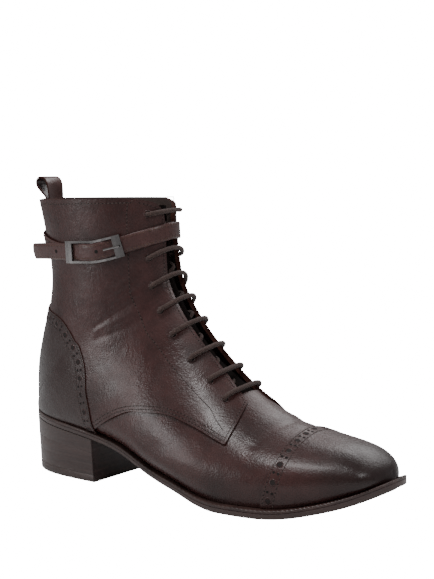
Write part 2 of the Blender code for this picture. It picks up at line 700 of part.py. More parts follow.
def tube(name, path, radius, tint, sides=6):
    """Round cord or rod along a path of points."""
    path = np.asarray(path, float)
    along = np.gradient(path, axis=0)
    along /= np.linalg.norm(along, axis=1, keepdims=True)
    across = np.cross(along, [0.0, 0.0, 1.0])
    across /= np.linalg.norm(across, axis=1, keepdims=True)
    over = np.cross(across, along)
    turns = np.arange(sides) * 2 * math.pi / sides
    rings = [[p + (a * math.cos(k) + o * math.sin(k)) * radius for k in turns]
             for p, a, o in zip(path, across, over)]
    return loft(name, rings, tint)


def lace_bar(index):
    """One lace between its two eyelets, taut over the gap between the facings."""
    lateral_at, lateral, medial_at, medial = EYELETS[index]
    ends = (1 - lateral, 1 - medial)
    path = []
    for k in np.linspace(-ends[0], ends[1], BAR_RINGS):
        side = -1 if k < 0 else 1
        number = lateral_at + (medial_at - lateral_at) * (k + ends[0]) / sum(ends)
        share = 1 - abs(k)
        reach = (1 - float(facing_edge(number, side))) * SAG_REACH
        flat = max(1 - (k / reach) ** 2, 0.0) ** 2
        height = LACE_LAYER - BAR_SAG * flat
        path.append(surface(number, share, side) + form_leans(number, share, side) * height)
    return tube(f"lace_bar_{index + 1}", path, LACE_RADIUS, "lace")


def shaft_frame(turn, height):
    """Point on the form and its direction at a share of the way round from the front, at a height."""
    turn = turn % 1.0
    side, share = (-1, 1 - 2 * turn) if turn < 0.5 else (1, 2 * turn - 1)
    low, high = HEEL_ROW + 0.5, TOP_ROW - 0.01
    for _ in range(22):
        half = (low + high) / 2
        low, high = (half, high) if surface(half, share, side)[2] < height else (low, half)
    number = (low + high) / 2
    lean = form_leans(number, share, side)
    if share < 0.01:
        lean = np.array((lean[0], 0.0, lean[2])) / math.hypot(lean[0], lean[2])
    return surface(number, share, side), lean


def strap_frames(turns):
    """Points on the form, outward directions and upward directions along the strap's line."""
    line = table_of(STRAP_LINE)
    heights = [float(line((BUCKLE_AT + turn) % 1.0)) * COLLAR_HEIGHT for turn in turns]
    tip = float(line(BUCKLE_AT)) * COLLAR_HEIGHT
    heights = [tip if turn > 1 else height for turn, height in zip(turns, heights)]
    pairs = [shaft_frame(BUCKLE_AT + turn, height) for turn, height in zip(turns, heights)]
    points, leans = np.array([p for p, _ in pairs]), np.array([n for _, n in pairs])
    along = np.gradient(points, axis=0)
    ups = np.cross(along, leans)
    ups /= np.linalg.norm(ups, axis=1, keepdims=True)
    ups *= np.sign(ups[:, 2:3])
    return points, leans, ups


def ankle_strap():
    """Strap from the buckle's centre bar round the shaft and back through the buckle to its free tip."""
    rows = np.array(STRAP_WAY)
    turns = np.linspace(0, 1, STRAP_RINGS) * rows[-1, 0]
    way = np.stack([np.interp(turns, rows[:, 0], column) for column in rows.T], 1)
    points, leans, ups = strap_frames(way[:, 0])
    middle = points + leans * (STRAP_LAYER + way[:, 1:2] * HOP)
    half = np.full(len(way), STRAP_WIDTH / 2)
    half[-1] *= TIP_TAPER
    rings = []
    for p, n, u, h in zip(middle, leans, ups, half):
        out = n * STRAP_THICK / 2
        rings.append([p - u * h - out, p - u * h + out, p + u * h + out, p + u * h - out])
    return loft("ankle_strap", rings, "leather")


def buckle_lines():
    """Frames along the buckle, with the height of its underside."""
    lines = np.array(BUCKLE_LINES)
    turns = lines[:, 0] * BUCKLE_LENGTH / 2 / SHAFT_ROUND
    points, leans, ups = strap_frames(1.0 - turns)
    under = STRAP_LAYER + STRAP_THICK / 2 + GAP + lines[:, 1] * HOP
    return points, leans, ups, under


def buckle():
    """Frame of the buckle with its hidden centre bar, curved with the shaft."""
    points, leans, ups, under = buckle_lines()
    half = STRAP_WIDTH / 2 + BUCKLE_CLEAR
    across = (-half - BUCKLE_RAIL, -half, half, half + BUCKLE_RAIL)
    grid = np.array([[p + n * d + u * a for a in across] for p, n, u, d in zip(points, leans, ups, under)])
    skin = Skin()
    for i in range(len(grid) - 1):
        for j in range(3):
            if j == 1 and i in BUCKLE_WINDOWS:
                continue
            cell = [(i, j), (i + 1, j), (i + 1, j + 1), (i, j + 1)]
            skin.face([skin.corner(grid[k], leans[k[0]]) for k in cell])
    body, faces = skin.solid(0.0, BUCKLE_THICK)
    return add_object("buckle", body, faces, "gunmetal")


def buckle_prong():
    """Prong from the strap's hole to its rest on the front bar."""
    lines = np.array(BUCKLE_LINES)
    points, leans, _, under = buckle_lines()
    tops = under + BUCKLE_THICK + GAP + PRONG_RADIUS
    middle = points + leans * tops[:, None]
    path = cubic(lines[:, 0], middle)(np.linspace(PRONG_FROM, PRONG_TO, 5))
    return tube("buckle_prong", path, PRONG_RADIUS, "gunmetal")


def pull_loop():
    """Loop of a wide strip inside the back of the collar, its teardrop standing over it."""
    rows = np.array(LOOP_PATH) * LOOP_HEIGHT
    closed = np.concatenate([rows, rows[:1]])
    z = COLLAR_HEIGHT + closed[:, 1]
    numbers = np.linspace(HEEL_ROW + 1, TOP_ROW, 60)
    backs = _back_of(numbers)
    wall = np.interp(np.minimum(z, COLLAR_HEIGHT), backs[:, 1], backs[:, 0]) + WALL / math.cos(LOOP_LEAN)
    path = np.stack([wall + GAP + FACET + LOOP_THICK / 2 + closed[:, 0], z], 1)
    along = np.roll(path[:-1], -1, 0) - np.roll(path[:-1], 1, 0)
    leans = np.stack([-along[:, 1], 0 * along[:, 0], along[:, 0]], 1)
    leans /= np.linalg.norm(leans, axis=1, keepdims=True)
    flat = 1 - LOOP_FLAT * np.clip((z - COLLAR_HEIGHT) / LOOP_HEIGHT, 0, 1)
    skin = Skin()
    columns = np.linspace(-LOOP_WIDTH / 2, LOOP_WIDTH / 2, LOOP_COLUMNS)
    count = len(rows)
    for i in range(count):
        for one, two in zip(columns, columns[1:]):
            cell = [(i, one), ((i + 1) % count, one), ((i + 1) % count, two), (i, two)]
            bend = [flat[k] * y * y / (2 * COLLAR_CURVE) for k, y in cell]
            skin.face([skin.corner((path[k, 0] + b, y, path[k, 1]), leans[k]) for (k, y), b in zip(cell, bend)])
    points, faces = skin.solid(-LOOP_THICK / 2, LOOP_THICK / 2)
    return add_object("pull_loop", points, faces, "leather")


def main():
    """Build every piece."""
    clear_scene()
    outsole()
    welt()
    heel_block()
    insole()
    upper()
    quarter(-1)
    quarter(1)
    toe_cap()
    heel_counter()
    tongue()
    ankle_strap()
    buckle()
    buckle_prong()
    pull_loop()
    for index in range(len(EYELETS)):
        lace_bar(index)


main()
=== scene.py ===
"""Looks of the lace-up ankle boot, right foot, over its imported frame. Metres, +Z up, toe towards +X."""
import math

import bmesh
import bpy
import numpy as np
from mathutils import Matrix, Vector
from mathutils.bvhtree import BVHTree


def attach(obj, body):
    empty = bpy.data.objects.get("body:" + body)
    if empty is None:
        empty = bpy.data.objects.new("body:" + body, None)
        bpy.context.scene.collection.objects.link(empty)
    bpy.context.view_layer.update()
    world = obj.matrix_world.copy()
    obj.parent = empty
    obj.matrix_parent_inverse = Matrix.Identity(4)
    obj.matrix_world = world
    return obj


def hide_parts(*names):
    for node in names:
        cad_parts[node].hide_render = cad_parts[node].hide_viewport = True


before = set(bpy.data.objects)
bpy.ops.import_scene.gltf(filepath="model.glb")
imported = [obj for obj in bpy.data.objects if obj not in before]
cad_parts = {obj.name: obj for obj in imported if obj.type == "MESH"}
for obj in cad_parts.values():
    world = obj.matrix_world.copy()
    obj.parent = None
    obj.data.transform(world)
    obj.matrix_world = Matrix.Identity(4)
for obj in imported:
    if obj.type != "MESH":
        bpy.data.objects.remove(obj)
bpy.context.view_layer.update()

# Sizes of the part.
LENGTH, BALL_WIDTH, INSTEP_HEIGHT, COLLAR_HEIGHT = 0.262, 0.09, 0.0955, 0.1735
HEEL_HEIGHT, TOE_SPRING, HEEL_LENGTH, HEEL_TAPER = 0.0348, 0.0174, 0.068, 0.0012
SOLE_THICK, WELT_THICK, WELT_WIDTH, EDGE_BEVEL = 0.006, 0.002, 0.0067, 0.0006
TREAD_DEPTH, TREAD_MARGIN, TREAD_FROM, TREAD_RAMP = 0.0008, 0.005, 0.5, 0.06
WALL, LEATHER, TONGUE_THICK, LACE_RADIUS = 0.0016, 0.001, 0.0016, 0.00145
STRAP_WIDTH, STRAP_THICK, BUCKLE_THICK = 0.0102, 0.0012, 0.0015
LOOP_HEIGHT, LOOP_THICK, LOOP_SPAN = 0.014, 0.0012, (-0.0105, 0.0045)
GAP, FACET = 0.0003, 0.00025
HEEL_MARGIN, TOE_MARGIN, WELT_MARGIN, LACE_TUNNEL = 0.002, 0.006, 0.004, 0.003
COLLAR_CURVE, LOOP_LEAN, LOOP_FLAT = 0.0172, 0.25, 0.65
# Distances from the form: inner and outer faces of the pieces, and middles of the strap and the lace.
OVERLAY = (0.0001, GAP + LEATHER)
COUNTER = (OVERLAY[1] + 0.0001, OVERLAY[1] + 0.0007)
HOP = GAP + BUCKLE_THICK + GAP + STRAP_THICK
STRAP_LAYER = OVERLAY[1] + GAP + FACET + STRAP_THICK / 2
LACE_LAYER = OVERLAY[1] + GAP + 3 * FACET + LACE_RADIUS
ORIGIN = np.array((HEEL_LENGTH / 2, 0.0, 0.0))
# Share of the sole's length, and lateral and medial half widths as shares of BALL_WIDTH.
OUTLINE = (
    (0.0, 0.0, 0.0), (0.03, 0.195, 0.195), (0.09, 0.305, 0.3), (0.17, 0.35, 0.335),
    (0.26, 0.362, 0.325), (0.36, 0.372, 0.29), (0.46, 0.41, 0.3), (0.56, 0.465, 0.375),
    (0.65, 0.505, 0.455), (0.74, 0.49, 0.475), (0.83, 0.413, 0.435), (0.91, 0.29, 0.35),
    (0.968, 0.15, 0.235), (1.0, -0.05, 0.05))
# Share of the sole's length, and the underside's height as shares of HEEL_HEIGHT and TOE_SPRING.
UNDERSIDE = (
    (-0.05, 1.026, 0.0), (0.0, 1.0, 0.0), (0.13, 0.897, 0.0), (0.26, 0.776, 0.0), (0.35, 0.621, 0.0),
    (0.44, 0.362, 0.0), (0.52, 0.205, 0.0), (0.59, 0.062, 0.0), (0.65, 0.0, 0.0), (0.757, 0.0, 0.0),
    (0.8, 0.0, 0.045), (0.87, 0.0, 0.25), (0.94, 0.0, 0.586), (1.0, 0.0, 1.0), (1.05, 0.0, 1.31))
# Share of the sole's length, and its thickness as a share of SOLE_THICK.
THICKNESS = ((0.0, 0.75), (0.3, 0.7), (0.45, 0.73), (0.6, 0.93), (0.8, 1.0), (1.0, 1.0))
# Outline angle, ridge's X, its height (two shares), half widths, belly, ridge's offset, power and roll.
SECTIONS = (
    (180, 0.9695, 0.262, 0.0, -0.055, 0.055, 0.35, 0.067, 2.3, 2.0),
    (164, 0.9565, 0.306, 0.0, 0.156, 0.2, 0.35, 0.067, 2.3, 2.0),
    (149, 0.92, 0.361, 0.0, 0.267, 0.317, 0.33, 0.061, 2.25, 2.0),
    (133, 0.859, 0.398, 0.0, 0.383, 0.405, 0.3, 0.056, 2.2, 2.0),
    (117, 0.779, 0.44, 0.0, 0.467, 0.45, 0.27, 0.044, 2.1, 2.0),
    (101, 0.6985, 0.513, 0.0, 0.494, 0.45, 0.25, 0.044, 2.05, 2.0),
    (85, 0.6185, 0.644, 0.0, 0.472, 0.411, 0.24, 0.044, 2.0, 2.0),
    (68, 0.5496, 0.817, 0.0, 0.422, 0.367, 0.24, 0.039, 2.0, 1.9),
    (49, 0.4924, 1.0, 0.0, 0.378, 0.35, 0.27, 0.033, 2.0, 1.75),
    (29, 0.4504, 1.0, 0.212, 0.356, 0.344, 0.34, 0.022, 2.0, 1.66),
    (9.5, 0.4275, 1.0, 0.372, 0.339, 0.339, 0.42, 0.011, 2.0, 1.45),
    (0, 0.419, 1.0, 0.455, 0.333, 0.335, 0.46, 0.005, 2.0, 1.0),
    (0, 0.4122, 1.0, 0.551, 0.328, 0.333, 0.48, 0.0, 2.0, 1.0),
    (0, 0.4065, 1.0, 0.66, 0.322, 0.328, 0.5, 0.0, 2.0, 1.0),
    (0, 0.4027, 1.0, 0.769, 0.322, 0.328, 0.5, 0.0, 2.0, 1.0),
    (0, 0.4008, 1.0, 0.885, 0.333, 0.333, 0.5, 0.0, 2.0, 1.0),
    (0, 0.4008, 1.0, 1.0, 0.344, 0.344, 0.5, 0.0, 2.0, 1.0))
# X and height of the back line from the first row above the heel to the collar.
BACK = ((0.0115, 0.357), (0.04, 0.519), (0.0649, 0.68), (0.0553, 0.836), (0.0305, 1.0))
HEEL_ROW, TOP_ROW = 11, 16
# Section numbers of the grid; then seams by section number and share, or by share and number where they
# run across the foot (QUARTER_FRONT, CAP_EDGE).
MARKS = (0, 0.25, 0.7, 1.25, 1.8, 2.35, 2.9, 3.4, 3.85, 4.3, 4.7, 5.03, 5.25, 5.5, 5.95, 6.4, 6.9, 7.4, 7.9,
         8.4, 8.95, 9.5, 10.0, 11, 11.5, 12, 12.5, 13, 13.5, 14, 14.5, 15, 15.5, 16)
QUARTER_ARCH = ((5.03, 0.469), (5.33, 0.48), (5.75, 0.494), (6.23, 0.485), (6.6, 0.438), (6.88, 0.369),
                (7.15, 0.275), (7.3, 0.12), (7.4, 0.0), (7.5, -0.14))
QUARTER_FRONT = ((0.469, 5.03), (0.656, 5.28), (0.875, 5.65))
FACING_LATERAL = ((5.65, 0.875), (6.45, 0.92), (7.3, 0.93), (8.1, 0.934), (9.1, 0.944), (11.75, 0.968),
                  (13.1, 0.974), (14.9, 0.972), (15.3, 0.96), (15.6, 0.936), (15.85, 0.89), (16.0, 0.82))
FACING_MEDIAL = ((5.65, 0.875), (6.45, 0.885), (7.3, 0.893), (8.1, 0.9), (9.1, 0.903), (11.75, 0.915),
                 (13.1, 0.922), (14.5, 0.93), (15.05, 0.915), (15.45, 0.875), (15.78, 0.805), (16.0, 0.7))
CAP_EDGE = ((0.0, 3.6), (0.106, 3.65), (0.231, 3.68), (0.363, 3.75), (0.494, 3.83), (0.65, 3.93),
            (0.831, 4.03), (1.0, 4.1))
COUNTER_EDGE = ((7.22, 0.0), (7.58, 0.14), (8.1, 0.27), (8.83, 0.408), (9.6, 0.48), (10.6, 0.51),
                (11.3, 0.5), (12.0, 0.448), (12.68, 0.344), (13.25, 0.19), (13.75, 0.0))
# Lateral section number and share, then medial, of each pair of eyelets from the top.
EYELETS = ((15.05, 0.888, 15.25, 0.855), (12.4, 0.894, 12.75, 0.835), (10.3, 0.89, 10.65, 0.825),
           (9.0, 0.863, 9.25, 0.815), (8.15, 0.838, 8.38, 0.805), (7.3, 0.812, 7.52, 0.795),
           (6.58, 0.8, 6.78, 0.785), (5.98, 0.769, 6.15, 0.775))
FACING_ROW = ((15.9, 0.8), (14.3, 0.781), (12.48, 0.802), (10.95, 0.805), (9.4, 0.788), (8.65, 0.756),
              (8.12, 0.744), (7.55, 0.719), (6.78, 0.688), (6.08, 0.663), (5.8, 0.631), (5.25, 0.55))
# The strap's line: share of the way round and of COLLAR_HEIGHT. Its way: turns and layers over the upper.
STRAP_LINE = ((0.0, 0.885), (0.06, 0.865), (0.14, 0.835), (0.24, 0.812), (0.34, 0.822), (0.5, 0.868),
              (0.66, 0.868), (0.84, 0.872), (0.94, 0.884), (1.0, 0.885))
BUCKLE_AT = 0.198
STRAP_WAY = ((0.0, 0.0), (0.83, 0.0), (0.865, 0.03), (0.905, 0.18), (0.925, 0.245), (0.94, 0.33),
             (0.965, 0.69), (0.985, 0.98), (1.0, 1.0), (1.015, 0.965), (1.035, 0.78), (1.06, 0.545),
             (1.08, 0.52), (1.11, 0.545), (1.15, 0.72), (1.185, 1.2), (1.215, 1.9), (1.24, 2.6))
# Across the pull loop, as shares of LOOP_HEIGHT.
LOOP_PATH = ((0.07, -1.25), (0.07, -0.6), (0.0, 0.02), (-0.32, 0.38), (-0.5, 0.66), (-0.45, 0.86),
             (-0.25, 0.98), (0.02, 0.92), (0.17, 0.68), (0.19, 0.36), (0.19, 0.04), (0.21, -0.6),
             (0.21, -1.25))

# Fineness of the meshes, and the share of a half section's samples below its widest point.
FINE_ROWS, FINE_COLUMNS, SAMPLES, LOW_SHARE = 6, 100, 241, 0.4
CREASE_SPOTS, FLAT_COLUMNS, WAY_SPOTS = 14, 4, 16
CUT_HALVINGS, CUT_RANGE = 12, (0.04, 0.96)

# Soft troughs (below nought) and ridges: side (0 both), way on the form, width and depth in mm.
CREASES = (
    (0, ((4.55, 0.55), (4.62, 0.8), (4.6, 1.0)), 3.2, -0.45),
    (0, ((4.85, 0.62), (4.92, 0.85), (4.9, 1.0)), 2.6, 0.25),
    (0, ((6.2, 0.22), (5.6, 0.34), (5.1, 0.38)), 6.0, -0.5),
    (-1, ((14.6, 0.42), (14.7, 0.56), (14.8, 0.68)), 8.5, 0.22),
    (-1, ((12.1, 0.7), (11.9, 0.75), (11.85, 0.8)), 1.1, -0.22),
    (-1, ((11.7, 0.69), (11.55, 0.75), (11.5, 0.8)), 1.1, -0.22),
    (-1, ((10.6, 0.62), (10.2, 0.72), (10.0, 0.84)), 1.6, -0.35),
    (-1, ((10.1, 0.6), (9.7, 0.7), (9.5, 0.82)), 1.5, 0.25),
    (-1, ((9.6, 0.58), (9.2, 0.68), (9.1, 0.8)), 1.7, -0.35),
    (-1, ((11.3, 0.7), (11.0, 0.78), (10.9, 0.86)), 1.2, -0.22),
    (1, ((12.8, 0.25), (12.3, 0.4), (12.1, 0.56)), 5.0, -0.55),
    (1, ((10.4, 0.6), (10.0, 0.7), (9.8, 0.8)), 1.8, -0.35),
    (1, ((9.4, 0.58), (9.1, 0.66), (9.0, 0.78)), 1.7, -0.3),
    (0, ((8.2, 0.3), (7.9, 0.5), (7.8, 0.64)), 6.0, 0.35))


def cubic(xs, ys):
    """Natural cubic spline through the rows of ys at xs."""
    xs = np.asarray(xs, float)
    ys = np.asarray(ys, float)
    count = len(xs)
    step = np.diff(xs)
    lhs = np.zeros((count, count))
    rhs = np.zeros((count,) + ys.shape[1:])
    lhs[0, 0] = lhs[-1, -1] = 1.0
    for i in range(1, count - 1):
        lhs[i, i - 1:i + 2] = (step[i - 1], 2 * (step[i - 1] + step[i]), step[i])
        rhs[i] = 6 * ((ys[i + 1] - ys[i]) / step[i] - (ys[i] - ys[i - 1]) / step[i - 1])
    bend = np.linalg.solve(lhs, rhs)

    def value(x):
        """The spline at x."""
        x = np.asarray(x, float)
        i = np.clip(np.searchsorted(xs, x, side="right") - 1, 0, count - 2)
        a = (xs[i + 1] - x) / step[i]
        b = 1 - a
        wide = (...,) + (None,) * (ys.ndim - 1)
        curve = ((a ** 3 - a)[wide] * bend[i] + (b ** 3 - b)[wide] * bend[i + 1]) * (step[i] ** 2)[wide] / 6
        return a[wide] * ys[i] + b[wide] * ys[i + 1] + curve

    return value


def table_of(rows):
    """Spline of a two-column table over its first column."""
    rows = np.array(rows)
    return cubic(rows[:, 0], rows[:, 1])


def curve(rows, count):
    """So many points of a smooth curve through the rows."""
    rows = np.array(rows, float)
    return cubic(np.arange(len(rows)), rows)(np.linspace(0, len(rows) - 1, count))


def unit(rows):
    """Directions scaled to length one."""
    return rows / np.linalg.norm(rows, axis=-1, keepdims=True)


def lengths(lines):
    """Lengths along lines of points, from nought."""
    steps = np.linalg.norm(np.diff(lines, axis=-2), axis=-1)
    return np.concatenate([np.zeros(steps.shape[:-1] + (1,)), np.cumsum(steps, axis=-1)], axis=-1)


def placed(line, along, at):
    """Points of a line at lengths along it."""
    return np.stack([np.interp(at, along, line[:, axis]) for axis in range(3)], -1)


def evenly(points, step):
    """The points laid out again at even steps."""
    along = lengths(points)
    count = max(int(along[-1] / step), 2)
    return placed(points, along, np.linspace(0, along[-1], count + 1))


def softened(rows, times):
    """Rows averaged with their neighbours, ends kept."""
    rows = rows.copy()
    for _ in range(times):
        rows[1:-1] = (rows[:-2] + rows[1:-1] * 2 + rows[2:]) / 4
    return rows


def ring(middle, across, over, sides, radius, swell=lambda k: 1.0):
    """Corners of a ring round its middle in two directions."""
    turns = np.arange(sides) * 2 * math.pi / sides
    return [middle + (across * math.cos(k) + over * math.sin(k)) * radius * swell(k) for k in turns]


def mirrored(column, even):
    """A column with two ghost rows before it, even or odd about its first row."""
    ghost = column[2:0:-1]
    return np.concatenate([ghost if even else 2 * column[0] - ghost, column])


_outline = np.array(OUTLINE)
_half_widths = cubic(np.arccos(1 - 2 * _outline[:, 0]), _outline[:, 1:] * BALL_WIDTH)
_under = np.array(UNDERSIDE)
_under_of = cubic(_under[:, 0], _under[:, 1] * HEEL_HEIGHT + _under[:, 2] * TOE_SPRING)
_thick = np.array(THICKNESS)
_thick_of = cubic(_thick[:, 0], _thick[:, 1] * SOLE_THICK)


def plan(angle, margin=0.0, heel=None, toe=None):
    """Outline of the sole inside a margin: x, lateral and medial half widths at an angle, 0 heel, pi toe."""
    heel = margin if heel is None else heel
    toe = margin if toe is None else toe
    angle = np.asarray(angle, float)
    x = heel + (LENGTH - heel - toe) * (1 - np.cos(angle)) / 2
    width = _half_widths(angle)
    inset = margin * np.sin(angle)
    return x, width[..., 0] - inset, width[..., 1] - inset


def underside(x):
    """Height of the outsole's underside."""
    share = np.asarray(x, float) / LENGTH
    flat = (share > 0.65) & (share < 0.757)
    return np.where(flat, 0.0, np.maximum(_under_of(share), 0.0))


def topside(x):
    """Height of the sole's and welt's top."""
    return underside(x) + _thick_of(np.clip(np.asarray(x, float) / LENGTH, 0, 1))


def form_splines():
    """Splines of the outline angle, the back line and the other section columns over the section number."""
    table = np.array(SECTIONS)
    angle = np.radians(table[:HEEL_ROW + 1, 0])
    angle = np.concatenate([2 * math.pi - angle[2:0:-1], angle, angle[-2:-4:-1]])
    angle_of = cubic(np.arange(-2, HEEL_ROW + 3), angle)
    back = np.array(BACK) * [LENGTH, COLLAR_HEIGHT]
    heel = [[HEEL_MARGIN, float(topside(HEEL_MARGIN)) + GAP]]
    back_of = cubic(np.arange(HEEL_ROW - 2, TOP_ROW + 1), np.concatenate([back[1::-1], heel, back]))
    ridge = table[:, 2] * INSTEP_HEIGHT + table[:, 3] * (COLLAR_HEIGHT - INSTEP_HEIGHT)
    columns = (mirrored(table[:, 1] * LENGTH, True), mirrored(ridge, False),
               mirrored(table[:, 4] * BALL_WIDTH, False), mirrored(table[:, 5] * BALL_WIDTH, False),
               mirrored(table[:, 6], True), mirrored(table[:, 7] * BALL_WIDTH, True),
               mirrored(table[:, 8], True), mirrored(table[:, 9], True))
    return angle_of, back_of, cubic(np.arange(-2, TOP_ROW + 1), np.stack(columns, 1))


_angle_of, _back_of, _row_of = form_splines()


def half_sections(number, side):
    """Points along whole half sections, from the sole or back line to the ridge. Side is -1 or 1."""
    number = np.asarray(number, float)[:, None]
    angle = np.where(number < HEEL_ROW, _angle_of(np.minimum(number, HEEL_ROW)), 0.0)
    x, lateral, medial = plan(angle, WELT_MARGIN, HEEL_MARGIN, TOE_MARGIN)
    back = _back_of(np.maximum(number, HEEL_ROW))
    up = number > HEEL_ROW
    bz = np.where(up, back[..., 1], topside(x) + GAP)
    bx = np.where(up, back[..., 0], x)
    seat = np.where(up, 0.0, lateral if side < 0 else medial)
    row = _row_of(number)
    top_x, top_z, wide_l, wide_m, belly, ridge, power, roll = (row[..., k] for k in range(8))
    wide = wide_l if side < 0 else wide_m
    k = np.linspace(0, 1, SAMPLES)[None, :]
    low = np.clip(k / LOW_SHARE, 0, 1) * math.pi / 2
    high = np.clip((k - LOW_SHARE) / (1 - LOW_SHARE), 0, 1) * math.pi / 2
    above = belly + (1 - belly) * np.sin(high) ** (2 / power)
    rise = np.where(k < LOW_SHARE, belly * (1 - np.cos(low)), above)
    y_low = side * (seat + (wide - seat) * np.sin(low) ** np.maximum(roll, 1.0))
    y_high = ridge + (side * wide - ridge) * np.cos(high) ** (2 / power)
    y = np.where(k < LOW_SHARE, y_low, y_high)
    return np.stack([bx + (top_x - bx) * rise, y, bz + (top_z - bz) * rise], -1)


def surface(number, share, side):
    """Points of the form at section numbers and shares of the half section's length."""
    number, share = np.broadcast_arrays(np.asarray(number, float), np.asarray(share, float))
    lines = half_sections(number.ravel(), side)
    along = lengths(lines)
    wanted = share.ravel() * along[:, -1]
    return np.array([placed(*row) for row in zip(lines, along, wanted)]).reshape(number.shape + (3,))


_facing_of = {-1: table_of(FACING_LATERAL), 1: table_of(FACING_MEDIAL)}


def facing_edge(number, side):
    """Share of the facing's front edge."""
    return np.minimum(_facing_of[side](np.maximum(number, FACING_LATERAL[0][0])), 1.0)


def creased(points, side):
    """Relief of the leather at points of the form, in metres."""
    relief = np.zeros(points.shape[:-1])
    for where, way, width, depth in CREASES:
        if where not in (0, side):
            continue
        fine = curve(way, CREASE_SPOTS)
        spots = surface(fine[:, 0], fine[:, 1], side)
        near = np.min(np.linalg.norm(points[..., None, :] - spots, axis=-1), axis=-1)
        relief += depth / 1000 * np.exp(-(near / (width / 1000)) ** 2)
    return relief


def fine_nets():
    """Both sides of the form on a fine grid: section numbers, shares, points, directions, relief."""
    spans = [np.linspace(a, b, FINE_ROWS, endpoint=False) for a, b in zip(MARKS, MARKS[1:])]
    number = np.concatenate(spans + [[TOP_ROW]])
    share = np.linspace(0, 1, FINE_COLUMNS + 1)
    sides = {}
    for side in (-1, 1):
        lines = half_sections(number, side)
        points = np.array([placed(line, along, share * along[-1])
                           for line, along in zip(lines, lengths(lines))])
        lean = unit(np.cross(np.gradient(points, axis=1), np.gradient(points, axis=0)) * -side)
        lean[number > HEEL_ROW, 0, 1] = 0.0
        lean[number <= HEEL_ROW, :FLAT_COLUMNS, 2] = 0.0
        sides[side] = [number, share, points, lean, None]
    for place in (np.s_[:, -1], np.s_[0, :]):
        both = sides[-1][3][place] + sides[1][3][place]
        sides[-1][3][place] = sides[1][3][place] = both
    for side in (-1, 1):
        sides[side][3] = unit(sides[side][3])
        sides[side][4] = creased(sides[side][2], side)
    ridge = (sides[-1][4][:, -1] + sides[1][4][:, -1]) / 2
    sides[-1][4][:, -1] = sides[1][4][:, -1] = ridge
    return sides


NETS = fine_nets()


def form_tree():
    """Search tree of the form's surface, for putting things on it."""
    points, faces = [], []
    for side in (-1, 1):
        grid = NETS[side][2]
        start, (rows, columns) = len(points), grid.shape[:2]
        points += [Vector(p) for p in grid.reshape(-1, 3)]
        for i in range(rows - 1):
            for j in range(columns - 1):
                a = start + i * columns + j
                quad = (a, a + columns, a + columns + 1, a + 1)
                faces.append(quad if side > 0 else quad[::-1])
    return BVHTree.FromPolygons(points, faces)


TREE = form_tree()
# The line inside the form that its directions turn away from, along X and Z, and the shaft's front.
INNER_X, INNER_Z, SHAFT_FRONT = (0.045, 0.2), (0.02, 0.2), 0.1


def on_form(points):
    """The nearest points of the form and its outward directions there."""
    spots, leans = [], []
    for p in points:
        spot, normal, _, _ = TREE.find_nearest(Vector(p))
        high = INNER_Z[1] if spot.x < SHAFT_FRONT else INNER_Z[0]
        middle = Vector((min(max(spot.x, INNER_X[0]), INNER_X[1]), 0.0, min(max(spot.z, INNER_Z[0]), high)))
        if normal.dot(spot - middle) < 0:
            normal = -normal
        spots.append(np.array(spot))
        leans.append(np.array(normal))
    return np.array(spots), unit(softened(np.array(leans), 1))


def spot_on_form(point):
    """The nearest point of the form and its outward direction there."""
    spots, leans = on_form([point])
    return spots[0], leans[0]


def add_mesh(name, points, faces, looks, slots=None, sharp=35):
    """One piece from points in the boot's frame, with smooth shading up to an angle in degrees."""
    mesh = bpy.data.meshes.new(name)
    mesh.from_pydata((np.asarray(points, float) - ORIGIN).tolist(), [], [tuple(f) for f in faces])
    for look in looks:
        mesh.materials.append(M[look])
    if slots is not None:
        mesh.polygons.foreach_set("material_index", slots)
    mesh.polygons.foreach_set("use_smooth", [True] * len(mesh.polygons))
    mesh.validate()
    mesh.update()
    mesh.set_sharp_from_angle(angle=math.radians(sharp))
    thing = bpy.data.objects.new(name, mesh)
    bpy.context.scene.collection.objects.link(thing)
    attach(thing, "root")
    return thing


def stands_for(node):
    """The piece takes the place of a CAD node, which is hidden."""
    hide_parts(node)


def outward(points, faces):
    """True if the body's faces turn outwards."""
    points = np.asarray(points, float)
    return sum(float(np.dot(points[f[0]], np.cross(points[f[k]], points[f[k + 1]])))
               for f in faces for k in range(1, len(f) - 1)) > 0


